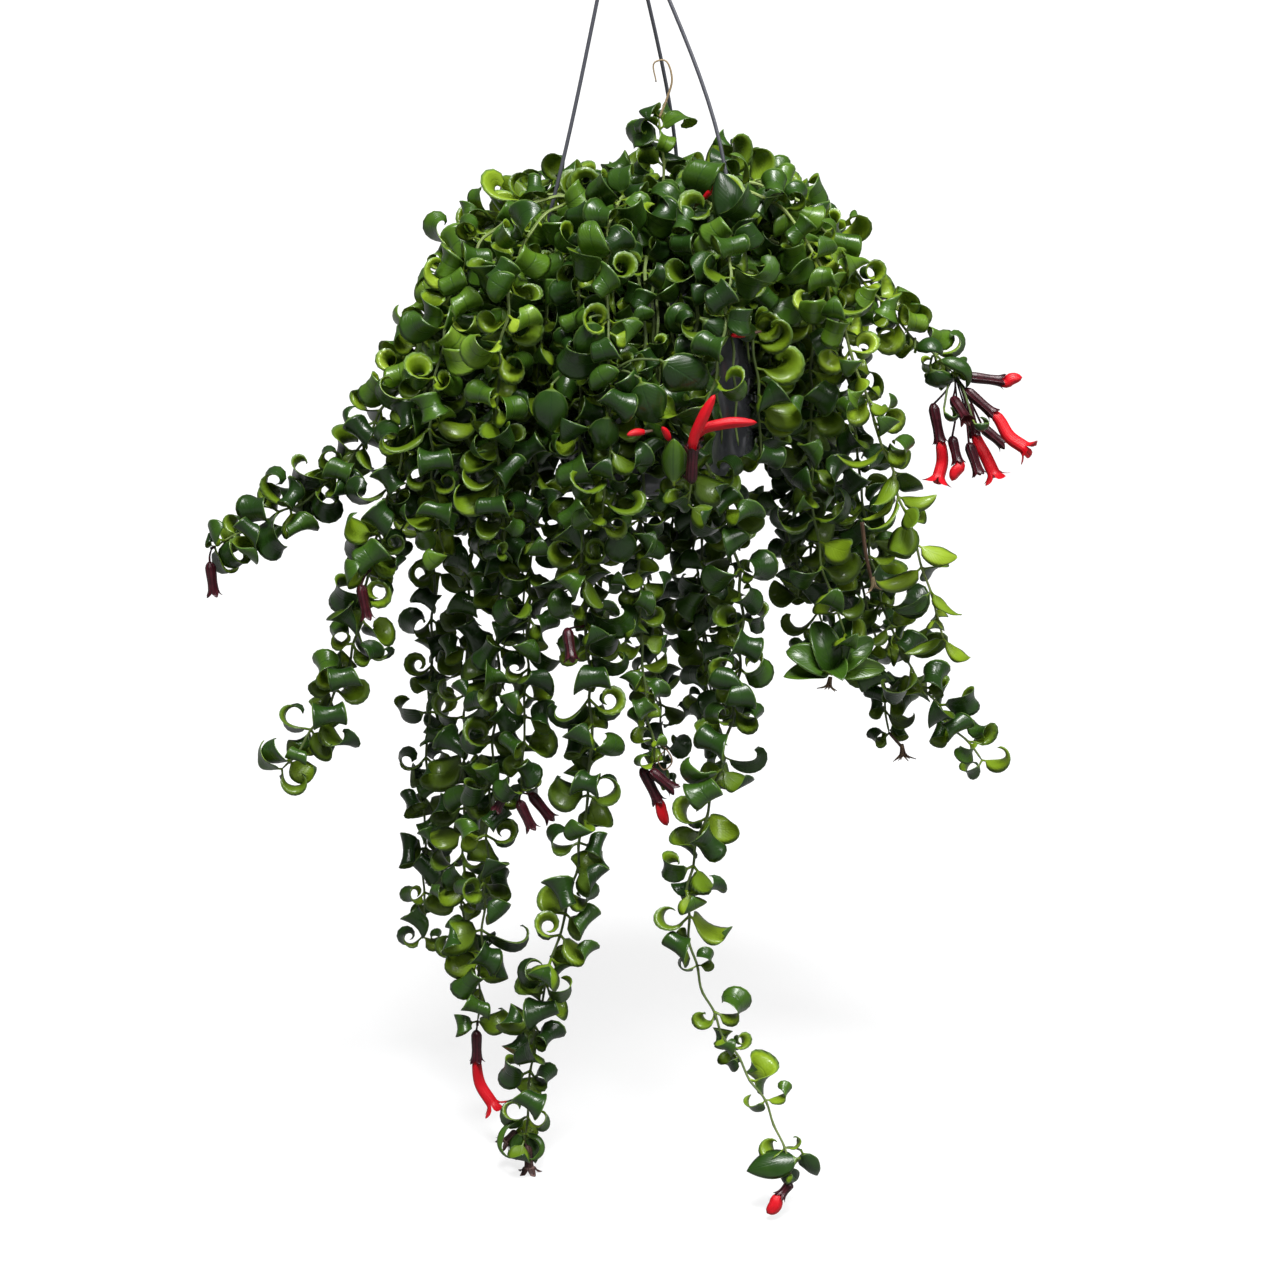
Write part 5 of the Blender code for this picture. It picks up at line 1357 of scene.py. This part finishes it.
bloom = {
    "calyx": 0.0039, "calyxMouth": 0.0055, "calyxLobe": 0.0028, "corolla": 0.0037, "corollaMouth": 0.01131,
    "corollaLobe": 0.0062, "hollow": 0.0050, "pedicel": 0.0006, "tipGap": 0.0004, "around": 40,
    "rib": 0.035, "notch": 0.80, "tip": 1.15, "calyxSkin": 0.00035, "corollaSkin": 0.0004,
    # how wide a calyx is, as (share of its length, share of its width)
    "calyxShape": ((0, 0.30), (0.03, 0.52), (0.09, 0.80), (0.18, 1.0), (0.35, 0.99), (0.52, 0.94),
                   (0.68, 0.90), (0.82, 0.94), (0.93, 1.0)),
    # rings out along the lobes and back on their inner side: share of the lobe, inner side or not, and
    # how far inside the shading counts it
    "calyxLobes": ((0.0, 0, 0.0), (0.35, 0, 0.0), (0.7, 0, 0.0), (1.0, 0, 0.0), (0.98, 1, 0.8), (0.5, 1, 0.8),
                   (0.0, 1, 0.8)),
    "corollaLobes": ((0.25, 0, 0.0), (0.5, 0, 0.0), (0.75, 0, 0.0), (0.92, 0, 0.0), (1.0, 0, 0.0),
                     (0.97, 1, 0.5), (0.7, 1, 0.8), (0.35, 1, 1.0), (0.0, 1, 1.0)),
    # rings down inside: how deep, as a share of the hollow or in metres, and how wide
    "calyxInside": ((0.5, 0.80), (0.95, 0.66), (1.0, 0.1)),
    "corollaInside": ((0.004, 0.80), (0.008, 0.70), (0.009, 0.1)),
    # a calyx's girth, the flare of its mouth and its lobes' length, where they differ from the others'
    "forms": {"floor_flower": (1.18, 1.0, 1.2), "dried_calyces": (0.9, 1.75, 2.0)},
    "girths": {"floor_flower": 1.25, "right_cluster": 1.08},
}


def lobeShape(turns, fullness):
    # 1 at the middle of each of five lobes, 0 in the notches
    off = np.abs((turns / math.tau * 5 + 0.5) % 1 - 0.5) * 2
    return 1 - off ** fullness


def crossRing(centre, first, second, radii, turns):
    ways = np.cos(turns)[:, None] * first + np.sin(turns)[:, None] * second
    return np.asarray(centre)[None, :] + ways * np.broadcast_to(radii, turns.shape)[:, None]


def squareTo(way, first):
    first = first - way * first.dot(way)
    first /= np.linalg.norm(first)
    return first, np.cross(way, first)


def bloomTurns():
    return np.arange(bloom["around"]) / bloom["around"] * math.tau


def swellAndHollow(length):
    # short calyces are slimmer, and less deep inside
    return min(1.0, 0.45 + length / 0.036), min(bloom["hollow"], length * 0.3)


def calyxStack(made, base, mouth, girth, flare, reachOut):
    axis = np.array(mouth - base)
    length = np.linalg.norm(axis)
    axis /= length
    swell, hollow = swellAndHollow(length)
    first, second = squareTo(axis, np.array(Vector(axis).orthogonal()))
    turns = bloomTurns()
    ribbed = 1 + bloom["rib"] * np.cos(5 * turns)
    wide, opening = bloom["calyx"] * swell * girth, bloom["calyxMouth"] * swell * girth
    notch, tip = opening * bloom["notch"] * flare ** 0.5, opening * bloom["tip"] * flare
    far = bloom["calyxLobe"] * swell * reachOut
    lobe = lobeShape(turns, 1.15)
    rings, inside = [], []
    for share, size in bloom["calyxShape"]:
        centre = base + Vector(axis) * length * share
        rings.append(crossRing(centre, first, second, wide * size * ribbed, turns))
        inside.append(0.0)
    for share, isInner, mark in bloom["calyxLobes"]:
        reach = notch + (tip - notch) * (lobe * share) ** 1.5 - isInner * bloom["calyxSkin"]
        ring = crossRing(mouth, first, second, reach, turns)
        rings.append(ring + axis * (lobe * share * far)[:, None])
        inside.append(mark)
    for depth, size in bloom["calyxInside"]:
        centre = mouth - Vector(axis) * hollow * depth
        rings.append(crossRing(centre, first, second, wide * size, turns))
        inside.append(1.0)
    rings = np.array(rings)
    made.addRings(rings, ringData(rings, turns / math.tau, 0.5, np.array(inside)[:, None]))


def corollaStack(base, mouth, bend, end, isOpen, girth):
    axis, length = np.array((mouth - base).normalized()), (mouth - base).length
    swell, hollow = swellAndHollow(length)
    seat = mouth - Vector(axis) * (hollow - 0.0007)
    stop = end - (end - bend).normalized() * bloom["corollaLobe"] if isOpen else end
    route = spread([seat, mouth + Vector(axis) * 0.005, bend, stop], 0.0016)
    tangents, firsts, seconds = carriedFrames(route)
    run = np.linspace(0, 1, len(route))
    fullLength = np.linalg.norm(np.diff(route, axis=0), axis=1).sum()
    inCalyx = np.clip(run * fullLength / (hollow + 0.004), 0, 1)
    turns, wide = bloomTurns(), bloom["corolla"] * girth
    radii = wide * (0.42 * swell + (0.86 - 0.42 * swell) * inCalyx + 0.16 * np.sin(np.pi * run ** 1.3))
    if isOpen:
        radii += wide * 0.26 * run ** 3
    else:
        close = np.clip((run - 0.60) / 0.40, 0, 1)
        radii *= np.sqrt(np.maximum(0.004, 1 - close ** 2.2))
    radii = np.minimum(radii, wide * 1.25)
    rings, along, inside = [], [], []
    for i, centre in enumerate(route):
        pleat = 1 + (0.05 if not isOpen and run[i] > 0.55 else 0.02) * np.cos(5 * turns)
        flat = 1.0 + 0.10 * np.cos(2 * turns)  # a little flattened from the sides
        rings.append(crossRing(centre, firsts[i], seconds[i], radii[i] * pleat * flat, turns))
        along.append(run[i] * 0.75)
        inside.append(0.0)
    if isOpen:
        centre, way, first, second, size = route[-1], tangents[-1], firsts[-1], seconds[-1], radii[-1]
        lobe, tip, far = lobeShape(turns, 2.2), bloom["corollaMouth"], bloom["corollaLobe"] * 1.2
        for share, isInner, mark in bloom["corollaLobes"]:
            reach = size + (tip - size) * (lobe * share) ** 1.1 - isInner * bloom["corollaSkin"]
            ring = crossRing(centre, first, second, reach, turns)
            ahead = lobe * share * far * (1 - 0.35 * share * lobe) * (1 + 0.3 * np.cos(turns + 0.7))
            rings.append(ring + way * (ahead + 0.0006)[:, None])
            along.append(0.75 + 0.25 * share)
            inside.append(mark)
        for depth, reach in bloom["corollaInside"]:
            rings.append(crossRing(centre - way * depth, first, second, size * reach, turns))
            along.append(0.6)
            inside.append(1.0)
    made, rings = Stack(), np.array(rings)
    data = ringData(rings, turns / math.tau, 0.5, np.array(inside)[:, None])
    data[..., 1] = np.array(along)[:, None]
    made.addRings(rings, data)
    return made


def bloomAnchor(nodes, back, flowers):
    kept = [0] + chordNodes(nodes, 1, len(nodes) - 1)
    anchor, tangent = onChord(nodes, kept, len(nodes) - 1 - back)
    if back == 0:
        return anchor, tangent, bloom["tipGap"]
    away = sum((Vector(flower[0]) for flower in flowers), Vector())
    return anchor, (away - tangent * away.dot(tangent)).normalized(), stems["wire"] + bloom["tipGap"]


def addBloom(name, nodes, back, flowers):
    anchor, away, gap = bloomAnchor(nodes, back, flowers)
    made, stacks = Stack(), []
    foot, start, knot = (anchor + away * (gap + further) for further in (0.0015, 0.002, 0.003))
    lead = spread([anchor + away * (gap - 0.0006), foot, knot], 0.0008)
    made.addTube(lead, bloom["pedicel"] * 1.7, 10, 0.5)
    for i, flower in enumerate(flowers, 1):
        base, mouth, *corolla = [anchor + Vector(p) * 0.001 for p in flower[:4]]
        way = (mouth - base).normalized()
        middle = start.lerp(base, 0.5) + (base - start).length * 0.08 * away
        lead = spread([start, middle, base + way * 0.0012], 0.0015)
        made.addTube(lead, bloom["pedicel"] * np.linspace(0.95, 1.4, len(lead)), 10, 0.5)
        calyxStack(made, base, mouth, *bloom["forms"].get(name, (1.0, 1.0, 1.0)))
        if corolla:
            tube = corollaStack(base, mouth, *corolla, flower[4] == "open", bloom["girths"].get(name, 1.0))
            place(tube.build(f"scarlet_{name}_{i}", [corollaMaterial]), "corolla", f"corolla_{name}_{i}")
            stacks.append(tube)
    material = driedCalyxMaterial if name == "dried_calyces" else calyxMaterial
    place(made.build(f"maroon_{name}", [material]), "calyx", f"calyx_{name}")
    return [made, *stacks]


# buds half hidden in the leaves: start, tip, radius
smallBuds = (
    ((0.0565, -0.075, -0.2462), (0.0677, -0.081, -0.2354), 0.002),
    ((0.0166, -0.168, -0.3879), (0.0055, -0.174, -0.3887), 0.0025),
    ((0.0331, -0.168, -0.3926), (0.0284, -0.174, -0.3834), 0.0024),
    ((0.0886, -0.105, -0.3324), (0.075, -0.111, -0.3335), 0.0029),
)
# dried husks where old flowers fell: place, the way they point, how many, length, tone
husks = (
    ((0.1487, -0.052, -0.5889), (-0.1, -0.1, -1), 5, 0.0095, 0.35),
    ((0.2084, 0.036, -0.6648), (0.1, -0.1, -1), 8, 0.0125, 0.3),
    ((0.1772, -0.06, -0.514), (0.2, -0.2, -1), 4, 0.01, 0.8),
    ((0.1038, -0.1, -0.292), (-0.5, -0.4, 0.6), 4, 0.007, 0.3),
)
# two dried twigs and a tendril: points, first and last radius, tone
driedTwigs = (
    (((0.0273, 0.02, -0.2009), (0.0329, 0.02, -0.187), (0.0363, 0.02, -0.1732), (0.0307, 0.02, -0.1608),
      (0.0244, 0.02, -0.1622), (0.0252, 0.02, -0.176)), 0.0009, 0.0005, 0.75),
    (((0.1687, -0.06, -0.4725), (0.172, -0.06, -0.4961), (0.1773, -0.06, -0.5184)), 0.0015, 0.0011, 0.3),
    (((0.0257, -0.125, -0.613), (0.0326, -0.125, -0.6188), (0.0361, -0.125, -0.6274),
      (0.0306, -0.125, -0.6332), (0.0264, -0.125, -0.626), (0.0305, -0.125, -0.6195)), 0.0006, 0.0004, 0.45),
)


def addBuds(buds, dried):
    for start, tip, radius in smallBuds:
        start, tip = Vector(start), Vector(tip)
        route = spread([start, start.lerp(tip, 0.5) + Vector((0, 0, 0.0008)), tip], 0.0008)
        share = np.linspace(0, 1, len(route))
        shape = np.sqrt(np.maximum(0.02, np.sin(np.pi * (0.16 + 0.84 * share))))
        buds.addTube(route, radius * shape, 20, 0.5)
        addTwig(dried, [start + (start - tip) * 0.5, start], 0.0008, 0.0014, 0.10)


def addHusks(dried, settled):
    rng = random.Random(41)
    for at, way, count, length, tone in husks:
        at, way = Vector(at), Vector(way).normalized()
        side = way.orthogonal().normalized()
        for i in range(count):
            out = Matrix.Rotation(i * 2.4, 3, way) @ side
            reach, flare = length * rng.uniform(0.7, 1.1), rng.uniform(0.35, 0.95)
            points = [at - way * 0.002, at + (way + out * flare * 0.6) * reach * 0.5,
                      at + (way + out * flare * 1.5) * reach * 0.8]
            addTwig(dried, points, 0.0015, 0.0003, tone + rng.uniform(-0.15, 0.25), sides=6)
        stem = nearestNode(at, settled)
        if (stem - at).length < 0.018:
            addTwig(dried, [stem, at], 0.0010, 0.0012, tone * 0.6)


def addSmallBits(settled):
    buds, dried = Stack(), Stack()
    addBuds(buds, dried)
    addHusks(dried, settled)
    for twig in driedTwigs:
        addTwig(dried, *twig)
    place(buds.build("scarlet_small_buds", [corollaMaterial]), "corolla")
    place(dried.build("dried_husks", [driedMaterial]), "calyx")


addCamera()
addLights()
addFloor()
print("studio set")
addPot()
addHanger()
addSoil()
print("pot, hanger and soil made")
settled = settleStems()
print("stems settled:", len(settled))
nodesOf = {name: nodes for name, nodes, _ in settled}
flowerStacks = [stack for name, (stem, back, flowers) in blooms.items()
                for stack in addBloom(name, nodesOf[stem], back, flowers)]
print("flowers made")
addStems(settled, flowerStacks)
addSmallBits(settled)
